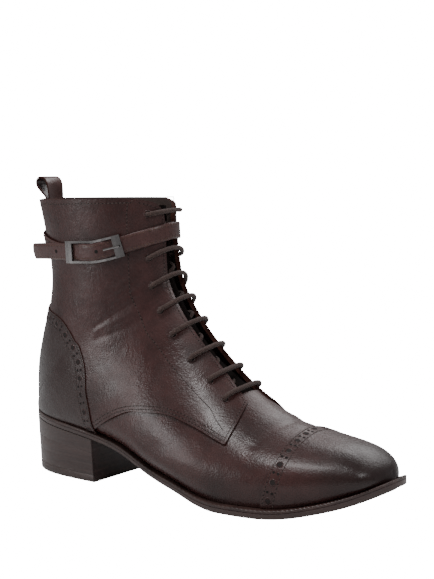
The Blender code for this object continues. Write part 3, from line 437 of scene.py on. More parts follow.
class Patch:
    """Part of the form inside a seam, with its corners and faces."""

    def __init__(self, test, sides):
        self.points, self.leans, self.relief, self.numbers = [], [], [], []
        self.faces, self.index = [], {}
        for side in sides:
            self.take(test, side)

    def corner(self, key, values):
        """Number of a corner, which is added when it is new."""
        if key not in self.index:
            self.index[key] = len(self.points)
            for store, value in zip((self.points, self.leans, self.relief, self.numbers), values):
                store.append(value)
        return self.index[key]

    def take(self, test, side):
        """The fine grid's faces of one side inside the seam, cut where it crosses them."""
        number, share, points, leans, relief = NETS[side]
        grid_t, grid_v = np.meshgrid(number, share, indexing="ij")
        keep = test(grid_t, grid_v, side)
        last = len(share) - 1

        def place(k):
            """Key of a corner, the same from both sides where they meet."""
            i, j = k
            shared = j == last or i == 0 or (j == 0 and number[i] >= HEEL_ROW)
            return (0 if shared else side, i, j)

        def values(k):
            """What a corner of the grid carries."""
            return points[k], leans[k], relief[k], number[k[0]]

        def cross(one, two):
            """Corner where the seam crosses the line between two corners of the grid."""
            if one > two:
                one, two = two, one
            low, high, first = 0.0, 1.0, keep[one]
            spot = np.array((number[one[0]], share[one[1]]))
            step = np.array((number[two[0]], share[two[1]])) - spot
            for _ in range(CUT_HALVINGS):
                half = (low + high) / 2
                at = spot + step * half
                low, high = (half, high) if bool(test(at[0], at[1], side)) == first else (low, half)
            low = min(max(low, CUT_RANGE[0]), CUT_RANGE[1])
            mixed = [a * (1 - low) + b * low for a, b in zip(values(one), values(two))]
            return self.corner((place(one), place(two)), mixed)

        for i in range(len(number) - 1):
            row = keep[i:i + 2]
            if not row.any():
                continue
            for j in range(last):
                quad = ((i, j), (i + 1, j), (i + 1, j + 1), (i, j + 1))
                held = [keep[k] for k in quad]
                if not any(held):
                    continue
                if all(held):
                    self.add([self.corner(place(k), values(k)) for k in quad], side)
                    continue
                for pane in ((quad[0], quad[1], quad[3]), (quad[1], quad[2], quad[3])):
                    out = []
                    for k, corner in enumerate(pane):
                        after = pane[(k + 1) % 3]
                        if keep[corner]:
                            out.append(self.corner(place(corner), values(corner)))
                        if keep[corner] != keep[after]:
                            out.append(cross(corner, after))
                    self.add(out, side)

    def add(self, corners, side):
        """One face, without doubled corners."""
        corners = [c for k, c in enumerate(corners) if c != corners[k - 1]]
        if len(corners) > 2 and len(set(corners)) == len(corners):
            self.faces.append(corners if side > 0 else corners[::-1])

    def solid(self, name, inner, outer, looks):
        """Closed piece between two distances from the form. Slots: outside, cut edge, inside."""
        points, leans = np.array(self.points), np.array(self.leans)
        relief, numbers = np.array(self.relief)[:, None], np.array(self.numbers)
        inner, outer = (way(numbers)[:, None] if callable(way) else way for way in (inner, outer))
        both = np.concatenate([points + leans * (outer + relief), points + leans * (inner + relief)])
        both[:, 2] = np.maximum(both[:, 2], topside(both[:, 0]) + GAP)
        count = len(points)
        used = set()
        for face in self.faces:
            used.update((c, face[(k + 1) % len(face)]) for k, c in enumerate(face))
        rim = [(a, b) for a, b in used if (b, a) not in used]
        rim.sort()
        faces = [list(f) for f in self.faces] + [[b, a, a + count, b + count] for a, b in rim]
        faces += [[c + count for c in reversed(f)] for f in self.faces]
        slots = [0] * len(self.faces) + [1] * len(rim) + [2] * len(self.faces)
        if not outward(both, faces[:len(self.faces)]):
            faces = [f[::-1] for f in faces]
        return add_mesh(name, both, faces, looks, slots)


def node_material(name, rough, metallic=0.0, coat=0.0, specular=0.5, sheen=0.0):
    """An empty material with its shader's even values set."""
    mat = bpy.data.materials.new(name)
    mat.use_nodes = True
    tree = mat.node_tree
    shader = tree.nodes["Principled BSDF"]
    for key, value in (("Roughness", rough), ("Metallic", metallic), ("Coat Weight", coat),
                       ("Coat Roughness", 0.2), ("Specular IOR Level", specular), ("Sheen Weight", sheen)):
        shader.inputs[key].default_value = value
    return mat, tree, shader


def add(tree, kind, inputs, out=0, **settings):
    """One output of a new node, with its inputs set to values or linked to sockets."""
    node = tree.nodes.new("ShaderNode" + kind)
    for key, value in settings.items():
        setattr(node, key, value)
    for key, value in inputs.items():
        if isinstance(value, bpy.types.NodeSocket):
            tree.links.new(value, node.inputs[key])
        else:
            node.inputs[key].default_value = value
    return node.outputs[out]


def noise(tree, where, scale, detail=4.0, rough=0.55):
    """Noise over the piece's own metres."""
    inputs = {"Vector": where, "Scale": scale, "Detail": detail, "Roughness": rough}
    return add(tree, "TexNoise", inputs, "Fac")


def ramp(tree, value, stops):
    """Colour ramp over a value."""
    color = add(tree, "ValToRGB", {"Fac": value}, "Color")
    elements = color.node.color_ramp.elements
    while len(elements) < len(stops):
        elements.new(0.5)
    for element, (at, tone) in zip(elements, stops):
        element.position, element.color = at, (*tone, 1.0)
    return color


def span(tree, value, low, high, to_low=0.0, to_high=1.0):
    """A value carried from one range to another, softly at both ends."""
    return add(tree, "MapRange", {"Value": value, "From Min": low, "From Max": high, "To Min": to_low,
                                  "To Max": to_high}, "Result", interpolation_type="SMOOTHSTEP")


def blend_color(tree, amount, one, two):
    """Colour socket one turning into colour two."""
    return add(tree, "Mix", {"Factor": amount, 6: one, 7: (*two, 1.0)}, 2, data_type="RGBA")


def maths(tree, operation, one, two):
    """One sum of two values."""
    return add(tree, "Math", {0: one, 1: two}, operation=operation)


# Scales of the leather's noises, per metre.
CLOUDS, MOTTLE, SHINE, FOLDS, PATCHES = 26.0, 240.0, 55.0, 60.0, 48.0
PORES, GRAIN, CRINKLE = 1150.0, 420.0, 520.0
# Where the burnish fades in along X at the toe and heel, and along Z; the crinkle's rise.
TOE_BURNISH, HEEL_BURNISH, HEEL_BURNISH_TOP = (0.180, 0.224), (0.012, -0.032), (0.115, 0.065)
FOOT_BURNISH, CRINKLE_RISE, BURNT = (0.030, 0.006), (0.045, 0.095), 0.34


def burnished(tree, color, dark, cloud, axes):
    """The colour darkened at the toe and heel and along the foot."""
    toe = span(tree, axes.outputs["X"], *TOE_BURNISH)
    heel = span(tree, axes.outputs["X"], *HEEL_BURNISH)
    heel = maths(tree, "MULTIPLY", heel, span(tree, axes.outputs["Z"], *HEEL_BURNISH_TOP))
    foot = span(tree, axes.outputs["Z"], *FOOT_BURNISH, 0.0, 0.4)
    amount = maths(tree, "MAXIMUM", maths(tree, "MAXIMUM", toe, heel), foot)
    amount = maths(tree, "MULTIPLY", amount, span(tree, cloud, 0.25, 0.6, 0.6, 0.9))
    return blend_color(tree, amount, color, tuple(c * BURNT for c in dark))


def hide_relief(tree, where, height):
    """Height of the leather's pores and folds, and of the fine crinkle that the upper part has in patches."""
    cells = add(tree, "TexVoronoi", {"Vector": where, "Scale": PORES}, "Distance", feature="SMOOTH_F1")
    pores = maths(tree, "ADD", maths(tree, "MULTIPLY", cells, 0.6), noise(tree, where, GRAIN, 4.0, 0.6))
    turned = add(tree, "Mapping", {"Vector": where, "Rotation": (0.3, 0.75, 0.2), "Scale": (1.0, 1.0, 0.28)})
    inputs = {"Vector": turned, "Scale": CRINKLE, "Detail": 3.0, "Distortion": 0.6}
    crinkle = add(tree, "TexNoise", inputs, "Fac")
    spots = span(tree, noise(tree, where, PATCHES, 2.0), 0.42, 0.66, 0.15, 2.6)
    spots = maths(tree, "MULTIPLY", spots, span(tree, height, *CRINKLE_RISE, 0.10, 1.0))
    folds = maths(tree, "MULTIPLY", noise(tree, where, FOLDS, 3.0, 0.5), 2.2)
    folds = maths(tree, "ADD", folds, maths(tree, "MULTIPLY", crinkle, spots))
    return maths(tree, "ADD", pores, folds)


def finished(mat, tree, shader, color, relief, strength, depth):
    """The material with its colour and bump linked."""
    tree.links.new(color, shader.inputs["Base Color"])
    bump = add(tree, "Bump", {"Height": relief, "Strength": strength, "Distance": depth})
    tree.links.new(bump, shader.inputs["Normal"])
    return mat


def leather(name, dark, middle, light, burnish=True):
    """Waxed leather: clouded colour, fine grain, rubbed lights and a burnished toe and heel."""
    mat, tree, shader = node_material(name, 0.4, coat=0.10, specular=0.34)
    where = add(tree, "TexCoord", {}, "Object")
    cloud = noise(tree, where, CLOUDS, 5.0, 0.6)
    color = ramp(tree, cloud, ((0.30, dark), (0.52, middle), (0.74, light)))
    mottle = noise(tree, where, MOTTLE, 3.0, 0.6)
    color = blend_color(tree, span(tree, mottle, 0.35, 0.75, 0.0, 0.35), color, dark)
    axes = add(tree, "SeparateXYZ", {"Vector": where}).node
    if burnish:
        color = burnished(tree, color, dark, cloud, axes)
    tree.links.new(span(tree, noise(tree, where, SHINE), 0.3, 0.7, 0.30, 0.44), shader.inputs["Roughness"])
    relief = hide_relief(tree, where, axes.outputs["Z"])
    return finished(mat, tree, shader, color, relief, 0.16, 0.0012)


def plain(name, dark, light, scale, rough, bump=0.1, stretch=None, metallic=0.0, coat=0.0, sheen=0.0,
          gleam=0.4):
    """A two-toned material with bump from the same noise."""
    mat, tree, shader = node_material(name, rough, metallic, coat, gleam, sheen)
    where = add(tree, "TexCoord", {}, "Object")
    if stretch is not None:
        where = add(tree, "Mapping", {"Vector": where, "Scale": stretch})
    grain = noise(tree, where, scale, 5.0, 0.6)
    return finished(mat, tree, shader, ramp(tree, grain, ((0.3, dark), (0.7, light))), grain, bump, 0.0006)


DARK, BROWN, PALE = (0.018, 0.0058, 0.0054), (0.043, 0.0140, 0.0130), (0.062, 0.0240, 0.0222)
M = {
    "skin": leather("leather_upper", DARK, BROWN, PALE),
    "counter": leather("leather_counter", DARK, (0.026, 0.0115, 0.0108), (0.040, 0.0195, 0.0185)),
    "strap": leather("leather_strap", (0.035, 0.014, 0.013), (0.066, 0.028, 0.026), (0.09, 0.044, 0.040),
                     burnish=False),
    # The tongue's near-black, dull colour is painted shade: it stands for the deep shadow in the gap between
    # the facings.
    "tongue": plain("tongue_painted_gap_shade", (0.003, 0.002, 0.002), (0.008, 0.005, 0.004), 500.0, 0.9, gleam=0.05),
    "raw": plain("leather_cut_edge", (0.018, 0.007, 0.0055), (0.050, 0.017, 0.012), 900.0, 0.9, gleam=0.12),
    "lining": plain("leather_lining", (0.030, 0.017, 0.014), (0.055, 0.034, 0.028), 500.0, 0.7),
    "thread": plain("thread", (0.020, 0.0095, 0.008), (0.060, 0.031, 0.026), 1500.0, 0.6, sheen=0.05),
    # Near-black discs of painted shade stand for the shadow inside the small, needle, eyelet and strap holes.
    "hole": plain("hole_floor_painted_shade", (0.0020, 0.0013, 0.0012), (0.005, 0.003, 0.0027), 900.0, 0.9),
    # The large holes' floor is the brown layer under them, darkened with painted shade of the hole.
    "pit": plain("large_hole_floor_brown_and_painted_shade", (0.0055, 0.0027, 0.0024), (0.014, 0.0065, 0.0058), 900.0, 0.8),
    "seam": plain("thread_strap", (0.050, 0.024, 0.017), (0.12, 0.062, 0.043), 1500.0, 0.7),
    "sole": plain("sole_edge", (0.026, 0.012, 0.011), (0.050, 0.025, 0.022), 120.0, 0.42, 0.15,
                  (0.25, 0.25, 3.0), coat=0.2),
    "welt": plain("welt_leather", (0.022, 0.010, 0.009), (0.050, 0.025, 0.021), 150.0, 0.45, 0.15, coat=0.1),
    "stack": plain("heel_stack", (0.022, 0.0105, 0.0095), (0.044, 0.023, 0.020), 60.0, 0.42, 0.12,
                   (0.35, 0.35, 14.0), coat=0.12),
    "lace": plain("lace_weave", (0.026, 0.014, 0.012), (0.072, 0.043, 0.037), 1100.0, 0.9, 0.8, sheen=0.08),
    "metal": plain("gunmetal", (0.17, 0.16, 0.16), (0.24, 0.23, 0.23), 40.0, 0.14, 0.02, metallic=1.0),
}


_arch, _front = table_of(QUARTER_ARCH), table_of(QUARTER_FRONT)
_cap, _counter = table_of(CAP_EDGE), table_of(COUNTER_EDGE)
# Reaches of these pieces. The upper has no gap before VAMP_END, and the tongue dives behind it.
ARCH_SPAN, FRONT_SPAN = (QUARTER_ARCH[0][0], 7.5), (QUARTER_FRONT[0][0], QUARTER_FRONT[-1][0])
COUNTER_SPAN, TONGUE_SPAN, TONGUE_SIDE, VAMP_END = (7.22, 13.75), (5.25, 15.5), 0.765, 5.95
DIVE_FROM, DIVE_LENGTH = 6.0, 1.5


def inside_upper(t, v, side):
    """Vamp, quarters and shaft up to the edges of the facings."""
    return (t < VAMP_END) | (v < facing_edge(t, side))


def inside_quarter(t, v, side):
    """Over the arch, behind the front seam and up to the facing's edge."""
    over = (t > ARCH_SPAN[1]) | (v > _arch(np.clip(t, *ARCH_SPAN)))
    return over & (t > _front(np.clip(v, *FRONT_SPAN))) & (v < facing_edge(t, side))


def inside_cap(t, v, side):
    """In front of the toe cap's edge."""
    return t < _cap(v)


def inside_counter(t, v, side):
    """Under the heel counter's edge."""
    return (t > COUNTER_SPAN[0]) & (t < COUNTER_SPAN[1]) & (v < _counter(np.clip(t, *COUNTER_SPAN)))


def inside_tongue(t, v, side):
    """Along the ridge, from under the vamp to the top."""
    return (t > TONGUE_SPAN[0]) & (t < TONGUE_SPAN[1]) & (v > TONGUE_SIDE)


def tongue_outer(number):
    """The tongue's outer face, which dives behind the vamp to leave room for the lace."""
    ramped = np.clip((number - DIVE_FROM) / DIVE_LENGTH, 0, 1)
    return -WALL - GAP - LACE_TUNNEL * ramped * ramped * (3 - 2 * ramped)


def tongue_inner(number):
    """The tongue's inner face."""
    return tongue_outer(number) - TONGUE_THICK


def skins():
    """The leather pieces cut from the form, with the looks of their outsides, edges and insides."""
    both, skin = (-1, 1), ("skin", "raw", "raw")
    for node, test, sides, (inner, outer), looks in (
            ("upper", inside_upper, both, (-WALL, 0.0), ("skin", "raw", "lining")),
            ("quarter_lateral", inside_quarter, (-1,), OVERLAY, skin),
            ("quarter_medial", inside_quarter, (1,), OVERLAY, skin),
            ("toe_cap", inside_cap, both, OVERLAY, skin),
            ("heel_counter", inside_counter, both, COUNTER, ("counter", "raw", "raw")),
            # The tongue's outside and cut edge take the near-black painted shade of the gap between the
            # facings.
            ("tongue", inside_tongue, both, (tongue_inner, tongue_outer), ("tongue", "tongue", "lining"))):
        piece = Patch(test, sides).solid("boot_" + node, inner, outer, looks)
        stands_for(node)


# Steps along seams and bands; the stitches' pitch, length, radius and shape.
STEP, BAND_STEP = 0.0004, 0.0005
PITCH, STITCH, THREAD = 0.0024, 0.0017, 0.00027
STITCH_SHAPE, STITCH_SUNK = ((-0.5, 0.35), (-0.28, 1.0), (0.28, 1.0), (0.5, 0.35)), 0.9
# Rings of a hole's floor and of its lip: shares of a radius and a height.
DISC_SHAPE = ((1.0, -1.0), (1.0, 0.0))
LIP_SHAPE = ((1.38, -0.3), (1.18, 0.8), (1.02, 1.0), (0.92, 0.0), (1.0, -1.0), (1.38, -1.0))
# Radii of the needle's, small, large and eyelet holes and of the large hole's lip.
PRICK, SMALL, LARGE, EYELET, LARGE_LIP = 0.00036, 0.00072, 0.00150, 0.0019, 0.00155
# Pitch of the punched bands and the small holes' distance from their middle.
BAND_PITCH, SMALL_ASIDE = 0.0101, 0.00135
# Distances of seams and bands from their edges, and where the bands start, in pitches.
ARCH_SEAMS, CAP_SEAMS, COUNTER_SEAMS = (0.0016, 0.0036), (0.0012, 0.0072), (0.0012, 0.0074)
FRONT_SEAM, EDGE_SEAM, COLLAR_SEAM, BACK_SEAM = 0.0016, 0.0018, 0.0022, 0.0014
CAP_BAND, COUNTER_BAND, CAP_START, COUNTER_START = 0.0042, 0.0043, {-1: 0.0, 1: 1.0}, 0.4
COLLAR_NUMBER, MEDIAL_ROW = 15.97, 0.955
EDGE_STOPS = (5.65, 6.2, 7, 8, 9.2, 11, 12.5, 14, 15.3, 15.95)
BACK_STOPS = ((13.9, 0.0), (14.6, 0.0), (15.3, 0.0), (15.95, 0.0))


def way_on(rows, side, lift, inset=0.0, step=STEP):
    """Points, outward and forward directions along a way on the form, moved sideways by an inset."""
    fine = curve(rows, WAY_SPOTS * len(rows))
    points = surface(np.clip(fine[:, 0], 0, TOP_ROW), np.clip(fine[:, 1], 0, 1), side)
    spots, leans = on_form(evenly(points, step))
    if inset:
        across = unit(np.cross(leans, softened(np.gradient(spots, axis=0), 12)))
        spots, leans = on_form(evenly(softened(spots + across * inset, 8), step))
    return spots + leans * lift, leans, unit(np.gradient(spots, axis=0))


class Bits:
    """Many small things joined in one mesh."""

    def __init__(self):
        self.points, self.faces = [], []

    def rings(self, rings, ends="capped"):
        """A tube through rings of points, its ends capped, open or joined to each other."""
        start, sides = len(self.points), len(rings[0])
        for ring in rings:
            self.points.extend(ring)
        starts = [start + i * sides for i in range(len(rings))]
        last = starts[-1]
        if ends == "joined":
            starts.append(start)
        for here, after in zip(starts, starts[1:]):
            for j in range(sides):
                k = (j + 1) % sides
                self.faces.append((here + j, here + k, after + k, after + j))
        if ends == "capped":
            self.faces.append(tuple(range(start + sides - 1, start - 1, -1)))
            self.faces.append(tuple(range(last, last + sides)))

    def stitch(self, p, lean, along):
        """One stitch lying on the leather, its narrow ends sunk in it."""
        across = np.cross(lean, along)
        rings = []
        for at, wide in STITCH_SHAPE:
            sunk = lean * THREAD * (STITCH_SUNK if wide < 1 else 0.0)
            rings.append(ring(p + along * at * STITCH - sunk, across, lean, 5, THREAD * wide))
        self.rings(rings)

    def turned(self, p, lean, radius, height, shape, ends):
        """A round body on a direction, with fewer corners where it is as small as the needle's holes."""
        side = unit(np.cross(lean, (0.0, 0.3, 1.0)))
        other = np.cross(lean, side)
        sides = 14 if radius > PRICK else 6
        self.rings([ring(p + lean * height * high, side, other, sides, radius * wide)
                    for wide, high in shape], ends)

    def disc(self, p, lean, radius, depth=0.0002):
        """One punched hole's floor: a disc whose dark colour is painted shade inside the hole."""
        self.turned(p, lean, radius, depth, DISC_SHAPE, "capped")

    def lip(self, p, lean, radius, height):
        """The raised lip round a punched hole."""
        self.turned(p, lean, radius, height, LIP_SHAPE, "joined")

    def finish(self, name, look, slot="leather"):
        """All of it as one piece."""
        piece = add_mesh(name, self.points, self.faces, [look], sharp=60)
        return piece


def sew(bits, rows, side, lift, inset, pricks=None):
    """A row of stitches, with the needle's holes between them."""
    points, leans, along = way_on(rows, side, lift, inset)
    every = round(PITCH / STEP)
    for k in range(every, len(points) - every // 2, every):
        bits.stitch(points[k], leans[k], along[k])
        if pricks is not None:
            pricks.disc(points[k + every // 2] + leans[k] * 0.00006, leans[k], PRICK, 0.0001)


def punch(holes, pits, lips, rows, side, lift, inset, start):
    """A band of one large hole and two small ones in turn."""
    points, leans, along = way_on(rows, side, lift, inset, BAND_STEP)
    count = int((len(points) - 1) * BAND_STEP / BAND_PITCH)
    for k in range(count + 1):
        at, half = (int((k + start + more) * BAND_PITCH / BAND_STEP) for more in (0.0, 0.5))
        if at < len(points) - 4:
            pits.disc(points[at] + leans[at] * 0.00018, leans[at], LARGE)
            lips.lip(points[at], leans[at], LARGE_LIP, 0.00022)
        if half < len(points) - 4:
            across = np.cross(leans[half], along[half])
            for way in (-1, 1):
                spot = points[half] + across * way * SMALL_ASIDE
                holes.disc(spot + leans[half] * 0.00020, leans[half], SMALL)
                lips.lip(spot, leans[half], SMALL, 0.00014)


def seams():
    """All stitch rows and punched bands."""
    thread, holes, pits, lips = Bits(), Bits(), Bits(), Bits()
    top, high = OVERLAY[1], COUNTER[1]
    front, cap = (tuple((t, v) for v, t in rows) for rows in (QUARTER_FRONT, CAP_EDGE))
    for side in (-1, 1):
        edge = tuple((t, float(facing_edge(t, side))) for t in EDGE_STOPS)
        row = tuple((t, v * (1.0 if side < 0 else MEDIAL_ROW)) for t, v in FACING_ROW[::-1])
        end = float(facing_edge(COLLAR_NUMBER, side)) - 0.02
        collar = tuple((COLLAR_NUMBER, v) for v in (0.0, 0.2, 0.4, 0.6, 0.8, end))
        rows = [(QUARTER_ARCH[:-1], top, inset) for inset in ARCH_SEAMS]
        rows += [(front, top, -FRONT_SEAM), (edge, top, -EDGE_SEAM), (row, top, 0.0),
                 (collar, top, COLLAR_SEAM)]
        rows += [(cap, top, inset) for inset in CAP_SEAMS]
        rows += [(COUNTER_EDGE, high, -inset) for inset in COUNTER_SEAMS]
        for way, lift, inset in rows:
            sew(thread, way, side, lift, side * inset, holes)
        sew(thread, BACK_STOPS, side, top, side * BACK_SEAM)
        punch(holes, pits, lips, cap[::-1], side, top, -side * CAP_BAND, CAP_START[side])
        punch(holes, pits, lips, COUNTER_EDGE[::-1], side, high, side * COUNTER_BAND, COUNTER_START)
    thread.finish("boot_stitches", "thread")
    holes.finish("boot_holes", "hole")
    pits.finish("boot_large_holes", "pit")
    lips.finish("boot_hole_lips", "skin")


# How deep the lace's ends, its bars' middles and feet and its hidden lengths lie, and its weave.
LACE_END, LACE_SAG, LACE_FOOT, HIDDEN_END, HIDDEN_DEEP, WEAVE = 0.001, 0.0016, 0.0006, 0.002, 0.0031, 0.035


def tube_rings(path, radius, sides=10):
    """Rings of a round woven cord along a path."""
    along = unit(np.gradient(path, axis=0))
    across = unit(np.cross(along, (0.02, 0.13, 1.0)))
    over = np.cross(across, along)
    return [ring(p, a, o, sides, radius, lambda k: 1 + WEAVE * math.sin(3 * k + i * 0.9))
            for i, (p, a, o) in enumerate(zip(path, across, over))]


def eyelets():
    """Points and directions of the pairs of eyelets, with their holes and lips."""
    holes, lips, pairs = Bits(), Bits(), []
    for lateral_at, lateral, medial_at, medial in EYELETS:
        pair = []
        for side, number, share in ((-1, lateral_at, lateral), (1, medial_at, medial)):
            p, lean = spot_on_form(surface(number, share, side))
            pair.append((p, lean))
            holes.disc(p + lean * (OVERLAY[1] + 0.0001), lean, EYELET)
            lips.lip(p + lean * OVERLAY[1], lean, EYELET, 0.0002)
        pairs.append(pair)
    holes.finish("boot_eyelet_holes", "hole")
    lips.finish("boot_eyelet_lips", "skin")
    return pairs


def lace_bar(row, pair):
    """Path of one bar over the gap, from eyelet to eyelet, a little lower at its middle."""
    lateral_at, lateral, medial_at, medial = row
    (p, lean), (q, other) = pair
    ends = (1 - lateral, 1 - medial)
    path = [p + lean * -LACE_END]
    for k in np.linspace(-ends[0], ends[1], 9):
        number = lateral_at + (medial_at - lateral_at) * (k + ends[0]) / sum(ends)
        spot, up = spot_on_form(surface(number, 1 - abs(k), -1 if k < 0 else 1))
        flat = 1 - (abs(k) / ends[0 if k < 0 else 1]) ** 2
        path.append(spot + up * (LACE_LAYER - LACE_SAG * flat ** 2 - (LACE_FOOT if flat < 0.1 else 0.0)))
    return curve(path + [q + other * -LACE_END], 70)


def lacing():
    """One lace: bars over the facings and diagonals under them, through the eyelets."""
    pairs = eyelets()
    for index, (row, pair) in enumerate(zip(EYELETS, pairs), 1):
        bits = Bits()
        bits.rings(tube_rings(lace_bar(row, pair), LACE_RADIUS))
        piece = bits.finish(f"boot_lace_{index}", "lace", "lace")
        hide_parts(f"lace_bar_{index}")
    under = Bits()
    for one, two in zip(pairs, pairs[1:]):
        (p, n), (q, m) = one[1], two[0]
        spot, lean = spot_on_form((p + q) / 2)
        path = (p + n * -HIDDEN_END, p * 0.8 + q * 0.2 + n * -HIDDEN_DEEP, spot + lean * -HIDDEN_DEEP,
                p * 0.2 + q * 0.8 + m * -HIDDEN_DEEP, q + m * -HIDDEN_END)
        under.rings(tube_rings(curve(path, 40), LACE_RADIUS * 0.8, 8))
    under.finish("boot_lace_hidden", "lace", "lace")


def shaft_frame(turn, height):
    """Point of the shaft at a share of the way round from the front, at a height."""
    turn = turn % 1.0
    side, share = (-1, 1 - 2 * turn) if turn < 0.5 else (1, 2 * turn - 1)
    low, high = HEEL_ROW + 0.5, TOP_ROW - 0.01
    for _ in range(16):
        half = (low + high) / 2
        low, high = (half, high) if surface(half, share, side)[2] < height else (low, half)
    return surface((low + high) / 2, share, side)


def strap_frames(turns):
    """Points on the form, outward directions and upward directions along the strap's line."""
    line = table_of(STRAP_LINE)
    tip = float(line(BUCKLE_AT))
    points = []
    for turn in turns:
        share = tip if turn > 1 else float(line((BUCKLE_AT + turn) % 1.0))
        points.append(shaft_frame(BUCKLE_AT + turn, share * COLLAR_HEIGHT))
    points, leans = on_form(points)
    leans = unit(softened(leans, 3))
    ups = unit(np.cross(np.gradient(points, axis=0), leans))
    return points, leans, ups * np.sign(ups[:, 2:3])


# The strap's rings, its tip's length by its width, its corners, and its seams' distance from the edges.
STRAP_RINGS, STRAP_TIP, STRAP_CORNER, STRAP_SEAM = 260, 0.45, 0.00035, 0.0014
# Faces of a ring that show its smooth side, where the seams start, and the holes by share of the turn.
SMOOTH_FACES, SEAM_START, STRAP_HOLES = (1, 2, 3, 4, 5, 6, 9), 0.004, (0.985, 1.125)


def strap_profile(h, thick):
    """Outline across the strap at a half width and a half thickness, with a slight crown."""
    soft = min(STRAP_CORNER, h * 0.4)
    return ((-h, -thick + soft), (-h, thick - soft), (-h + soft, thick), (-h * 0.5, thick * 1.06),
            (0, thick * 1.1), (h * 0.5, thick * 1.06), (h - soft, thick), (h, thick - soft),
            (h, -thick + soft), (h - soft, -thick), (-h + soft, -thick))


def strap():
    """The ankle strap with rounded edges, stitches, holes and its rounded tip."""
    rows = np.array(STRAP_WAY)
    turns = np.linspace(0, 1, STRAP_RINGS) * rows[-1, 0]
    layer = np.clip(cubic(rows[1:, 0], rows[1:, 1])(turns), 0, None)
    layer = np.where(turns < rows[1, 0], 0.0, layer)
    points, leans, ups = strap_frames(turns)
    middle = points + leans * (STRAP_LAYER + layer[:, None] * HOP)
    length = lengths(middle)
    rounding = np.clip((length[-1] - length) / (STRAP_WIDTH * STRAP_TIP), 0, 1)
    half = STRAP_WIDTH / 2 * np.sqrt(np.clip(1 - (1 - rounding) ** 2, 0.04, 1))
    thick = STRAP_THICK / 2
    bits, thread, holes = Bits(), Bits(), Bits()
    bits.rings([[p + u * a + n * b for a, b in strap_profile(h, thick)]
                for p, n, u, h in zip(middle, leans, ups, half)])
    slots = [0 if k % 11 in SMOOTH_FACES else 1 for k in range(len(bits.faces))]
    piece = add_mesh("boot_ankle_strap", bits.points, bits.faces, ("strap", "raw"), slots, sharp=50)
    stands_for("ankle_strap")
    along = unit(np.gradient(middle, axis=0))
    for at in np.arange(SEAM_START, length[-1] - SEAM_START, PITCH):
        k = int(np.searchsorted(length, at))
        for way in (-1, 1):
            spot = middle[k] + ups[k] * way * (half[k] - STRAP_SEAM) + leans[k] * (thick + 0.00005)
            thread.stitch(spot, leans[k], along[k])
    thread.finish("boot_strap_stitches", "seam")
    for at in STRAP_HOLES:
        k = int(np.argmin(abs(turns - at)))
        holes.disc(middle[k] + leans[k] * (thick * 1.1 + 0.00008), leans[k], 0.0011)
    holes.finish("boot_strap_holes", "hole")


def loop():
    """The pull loop's wide strip with its raw edges."""
    rows = np.array(LOOP_PATH)
    around = np.concatenate([rows[-3:], rows, rows[:4]])
    fine = cubic(np.arange(-3, len(rows) + 4), around)
    path = fine(np.linspace(0, len(rows), 73)[:-1]) * LOOP_HEIGHT
    z = COLLAR_HEIGHT + path[:, 1]
    backs = _back_of(np.linspace(HEEL_ROW + 1, TOP_ROW, 60))
    wall = np.interp(np.minimum(z, COLLAR_HEIGHT), backs[:, 1], backs[:, 0]) + WALL / math.cos(LOOP_LEAN)
    path = np.stack([wall + GAP + FACET + LOOP_THICK / 2 + path[:, 0], z], 1)
    along = np.roll(path, -1, 0) - np.roll(path, 1, 0)
    lean = np.stack([-along[:, 1], 0 * along[:, 0], along[:, 0]], 1)
    lean = unit(lean)
    flat = 1 - LOOP_FLAT * np.clip((z - COLLAR_HEIGHT) / LOOP_HEIGHT, 0, 1)
    columns = np.linspace(*LOOP_SPAN, 13)
    points, faces, slots = [], [], []
    count, wide = len(path), len(columns)
    for way in (-LOOP_THICK / 2, LOOP_THICK / 2):
        for (x, height), n, f in zip(path, lean, flat):
            points += [np.array((x + f * y * y / (2 * COLLAR_CURVE), y, height)) + n * way for y in columns]
    size = count * wide
    for i in range(count):
        after = (i + 1) % count
        for j in range(wide - 1):
            a, b = i * wide + j, after * wide + j
            faces += [(a, b, b + 1, a + 1), (a + size + 1, b + size + 1, b + size, a + size)]
            slots += [0, 0]
        for j, turn in ((0, 1), (wide - 1, -1)):
            a, b = i * wide + j, after * wide + j
            faces.append((a, a + size, b + size, b)[::turn])
            slots.append(1)
    if not outward(points, faces):
        faces = [f[::-1] for f in faces]
    piece = add_mesh("boot_pull_loop", points, faces, ("strap", "raw"), slots, sharp=50)
    stands_for("pull_loop")


def sole_angles(count):
    """Outline angles, close together round the heel and toe."""
    even = np.linspace(0, 1, count)
    return (even - 0.02 * np.sin(2 * math.pi * even)) * math.pi


def sole_point(angle, side, margin, level, rise):
    """A point of the sole at a margin inside its outline, a rise over its underside or topside."""
    x, lateral, medial = plan(angle, margin)
    return np.array((float(x), float(-lateral if side < 0 else medial), float(level(x)) + rise))


def merged(name, rings, look, node):
    """A piece through closed rings, its doubled corners merged."""
    bits = Bits()
    bits.rings(rings, "open")
    piece = add_mesh(name, bits.points, bits.faces, [look], sharp=40)
    mesh = bmesh.new()
    mesh.from_mesh(piece.data)
    bmesh.ops.remove_doubles(mesh, verts=mesh.verts, dist=0.000005)
    bmesh.ops.holes_fill(mesh, edges=mesh.edges)
    bmesh.ops.recalc_face_normals(mesh, faces=mesh.faces)
    for face in mesh.faces:
        face.smooth = True
    mesh.to_mesh(piece.data)
    mesh.free()
    piece.data.set_sharp_from_angle(angle=math.radians(40))
    stands_for(node)


# Rings of the sole, the welt and the heel, and the depth of the welt's notches.
SOLE_RINGS, WELT_RINGS, HEEL_RINGS, NOTCH = 170, 430, 60, 0.00028
# Heights of the heel's stacked lifts as shares, with how far its side lies inside at each.
HEEL_LIFTS = ((0.0, 0.0004), (0.012, 0.0), (0.155, 0.0), (0.165, 0.00022), (0.175, 0.0), (0.42, 0.0),
              (0.43, 0.00010), (0.44, 0.0), (0.68, 0.0), (0.69, 0.00010), (0.70, 0.0), (1.0, 0.0))


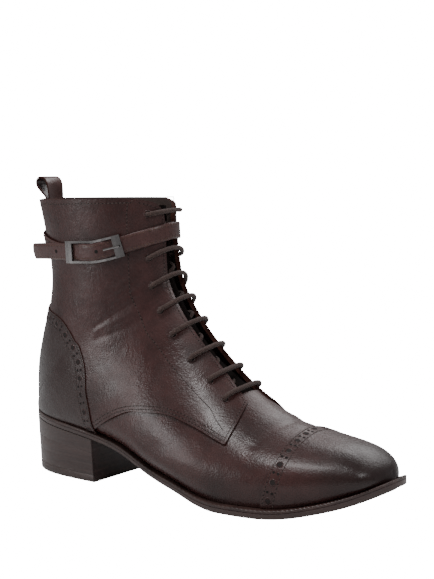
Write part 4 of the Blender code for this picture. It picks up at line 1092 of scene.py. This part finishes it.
def outsole():
    """The outsole with its tread's rim and the shelf under the welt."""
    shelf, inside = -WELT_THICK - 0.00005, WELT_WIDTH + GAP
    rings = []
    for angle in sole_angles(SOLE_RINGS):
        share = float(plan(angle)[0]) / LENGTH
        rim = TREAD_DEPTH * min(max((share - TREAD_FROM) / TREAD_RAMP, 0.0), 1.0)
        steps = ((TREAD_MARGIN + TREAD_DEPTH, underside, 0.0), (TREAD_MARGIN, underside, rim),
                 (EDGE_BEVEL, underside, rim), (EDGE_BEVEL / 4, underside, rim + EDGE_BEVEL / 4),
                 (0.0, underside, rim + EDGE_BEVEL), (0.0, topside, shelf), (inside, topside, shelf),
                 (inside, topside, 0.0))
        lateral, medial = ([sole_point(angle, side, *step) for step in steps] for side in (-1, 1))
        rings.append(lateral + medial[::-1])
    merged("boot_outsole", rings, "sole", "outsole")


def welt():
    """The welt with its fine notches."""
    angles = sole_angles(WELT_RINGS)
    turns = [(-1, angle) for angle in angles] + [(1, angle) for angle in angles[-2:0:-1]]
    rings = []
    for k, (side, angle) in enumerate(turns + turns[:1]):
        dent = NOTCH if k % 3 == 0 else 0.0
        steps = ((0.0003, -WELT_THICK), (0.0, -WELT_THICK + 0.0003), (0.0, -0.0005 - dent),
                 (0.0004, -0.0001 - dent), (0.0012, -dent), (0.0017, 0.0), (WELT_WIDTH, 0.0),
                 (WELT_WIDTH, -WELT_THICK))
        rings.append([sole_point(angle, side, margin, topside, drop) for margin, drop in steps])
    merged("boot_welt", rings, "welt", "welt")


def heel():
    """The stacked heel."""
    rings = []
    for angle in np.linspace(0, math.acos(1 - 2 * HEEL_LENGTH / LENGTH), HEEL_RINGS):
        corners = []
        for side, order in ((-1, 1), (1, -1)):
            high = sole_point(angle, side, 0.0, underside, -GAP)
            for level, mark in HEEL_LIFTS[::order]:
                inset = HEEL_TAPER * (1 - level) + mark
                inward = (inset * math.cos(angle), -side * inset * math.sin(angle), 0)
                corners.append(high * (1, 1, level) + inward)
        rings.append(corners)
    merged("boot_heel", rings, "stack", "heel_block")


def metal():
    """The buckle, prong and insole stay the part's own solids; the buckle's edges are softened."""
    for node, look in (("buckle", "metal"), ("buckle_prong", "metal"), ("insole", "lining")):
        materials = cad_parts[node].data.materials
        materials.clear()
        materials.append(M[look])
    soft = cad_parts["buckle"].modifiers.new("soft_edges", "BEVEL")
    soft.width, soft.segments = 0.00035, 3
    soft.limit_method, soft.angle_limit = "ANGLE", math.radians(40)


# The photo's camera: turns in radians, places in metres, focal length and picture height in pixels.
CAMERA_TURN, CAMERA_YAW, CAMERA_PITCH, CAMERA_ROLL = (math.radians(a) for a in (38.0, -0.8, 5.4, -1.0))
CAMERA_ROUND, CAMERA_DISTANCE, CAMERA_HEIGHT = 0.130, 0.700, 0.185
FOCAL_PIXELS, PHOTO_HEIGHT, SENSOR = 1183, 579, 36
# Lamps: name, place, target, size and power; then light of the room, and white of the ground and floor.
LAMPS = (("key", (0.10, -0.36, 1.15), (0.13, 0, 0.04), (0.42, 0.28), 7.5),
         ("side", (-0.62, -0.92, 0.34), (0.04, 0, 0.07), (0.20, 0.40), 3.2),
         ("toe", (0.92, -0.14, 0.80), (0.17, 0, 0.04), (0.18, 0.18), 2.4),
         ("rim", (0.05, 1.0, 0.9), (0.08, 0, 0.08), (0.8, 0.6), 5))
ROOM_LIGHT, GROUND_WHITE, FLOOR_GLOW = 0.36, 18.0, 18.0


def camera():
    """The camera at the photo's angle."""
    turn, yaw, pitch, roll = CAMERA_TURN, CAMERA_TURN + CAMERA_YAW, CAMERA_PITCH, CAMERA_ROLL
    spot = (CAMERA_ROUND + math.sin(turn) * CAMERA_DISTANCE, -math.cos(turn) * CAMERA_DISTANCE, CAMERA_HEIGHT)
    ahead = np.array((-math.sin(yaw) * math.cos(pitch), math.cos(yaw) * math.cos(pitch), -math.sin(pitch)))
    level = np.array((math.cos(yaw), math.sin(yaw), 0.0))
    over = np.cross(level, ahead)
    data = bpy.data.cameras.new("camera")
    data.lens = FOCAL_PIXELS * SENSOR / PHOTO_HEIGHT
    data.sensor_width = SENSOR
    data.clip_start = 0.01
    thing = bpy.data.objects.new("camera", data)
    rows = np.eye(4)
    rows[:3, 0] = level * math.cos(roll) + over * math.sin(roll)
    rows[:3, 1] = -level * math.sin(roll) + over * math.cos(roll)
    rows[:3, 2], rows[:3, 3] = -ahead, np.array(spot) - ORIGIN
    thing.matrix_world = Matrix(rows.tolist())
    bpy.context.scene.collection.objects.link(thing)
    bpy.context.scene.camera = thing


def area(name, spot, target, size, power):
    """A soft lamp that looks at a spot."""
    data = bpy.data.lights.new(name, "AREA")
    data.shape = "RECTANGLE"
    data.size, data.size_y = size
    data.energy = power
    thing = bpy.data.objects.new(name, data)
    thing.location = spot
    thing.rotation_euler = (Vector(target) - Vector(spot)).to_track_quat("-Z", "Y").to_euler()
    bpy.context.scene.collection.objects.link(thing)


def studio():
    """Pale floor that blends into a white ground, and soft light."""
    mesh = bpy.data.meshes.new("floor")
    mesh.from_pydata([(-6, -6, 0), (6, -6, 0), (6, 6, 0), (-6, 6, 0)], [], [(0, 1, 2, 3)])
    floor = bpy.data.objects.new("floor", mesh)
    mat, tree, shader = node_material("floor_white", 0.9, specular=0.0)
    where = add(tree, "TexCoord", {}, "Object")
    color = ramp(tree, noise(tree, where, 4.0), ((0.0, (0.80, 0.80, 0.80)), (1.0, (0.82, 0.82, 0.82))))
    tree.links.new(color, shader.inputs["Base Color"])
    shader.inputs["Emission Color"].default_value = (1, 1, 1, 1)
    seen = add(tree, "LightPath", {}, "Is Camera Ray")
    tree.links.new(maths(tree, "MULTIPLY", seen, FLOOR_GLOW), shader.inputs["Emission Strength"])
    mesh.materials.append(mat)
    bpy.context.scene.collection.objects.link(floor)
    world = bpy.data.worlds.new("studio")
    world.use_nodes = True
    tree = world.node_tree
    ground = tree.nodes["Background"]
    ground.inputs["Color"].default_value = (1, 1, 1, 1)
    seen = add(tree, "LightPath", {}, "Is Camera Ray")
    tree.links.new(span(tree, seen, 0.0, 1.0, ROOM_LIGHT, GROUND_WHITE), ground.inputs["Strength"])
    bpy.context.scene.world = world
    for lamp in LAMPS:
        area(*lamp)


camera()
skins()
seams()
lacing()
strap()
loop()
outsole()
welt()
heel()
metal()
studio()
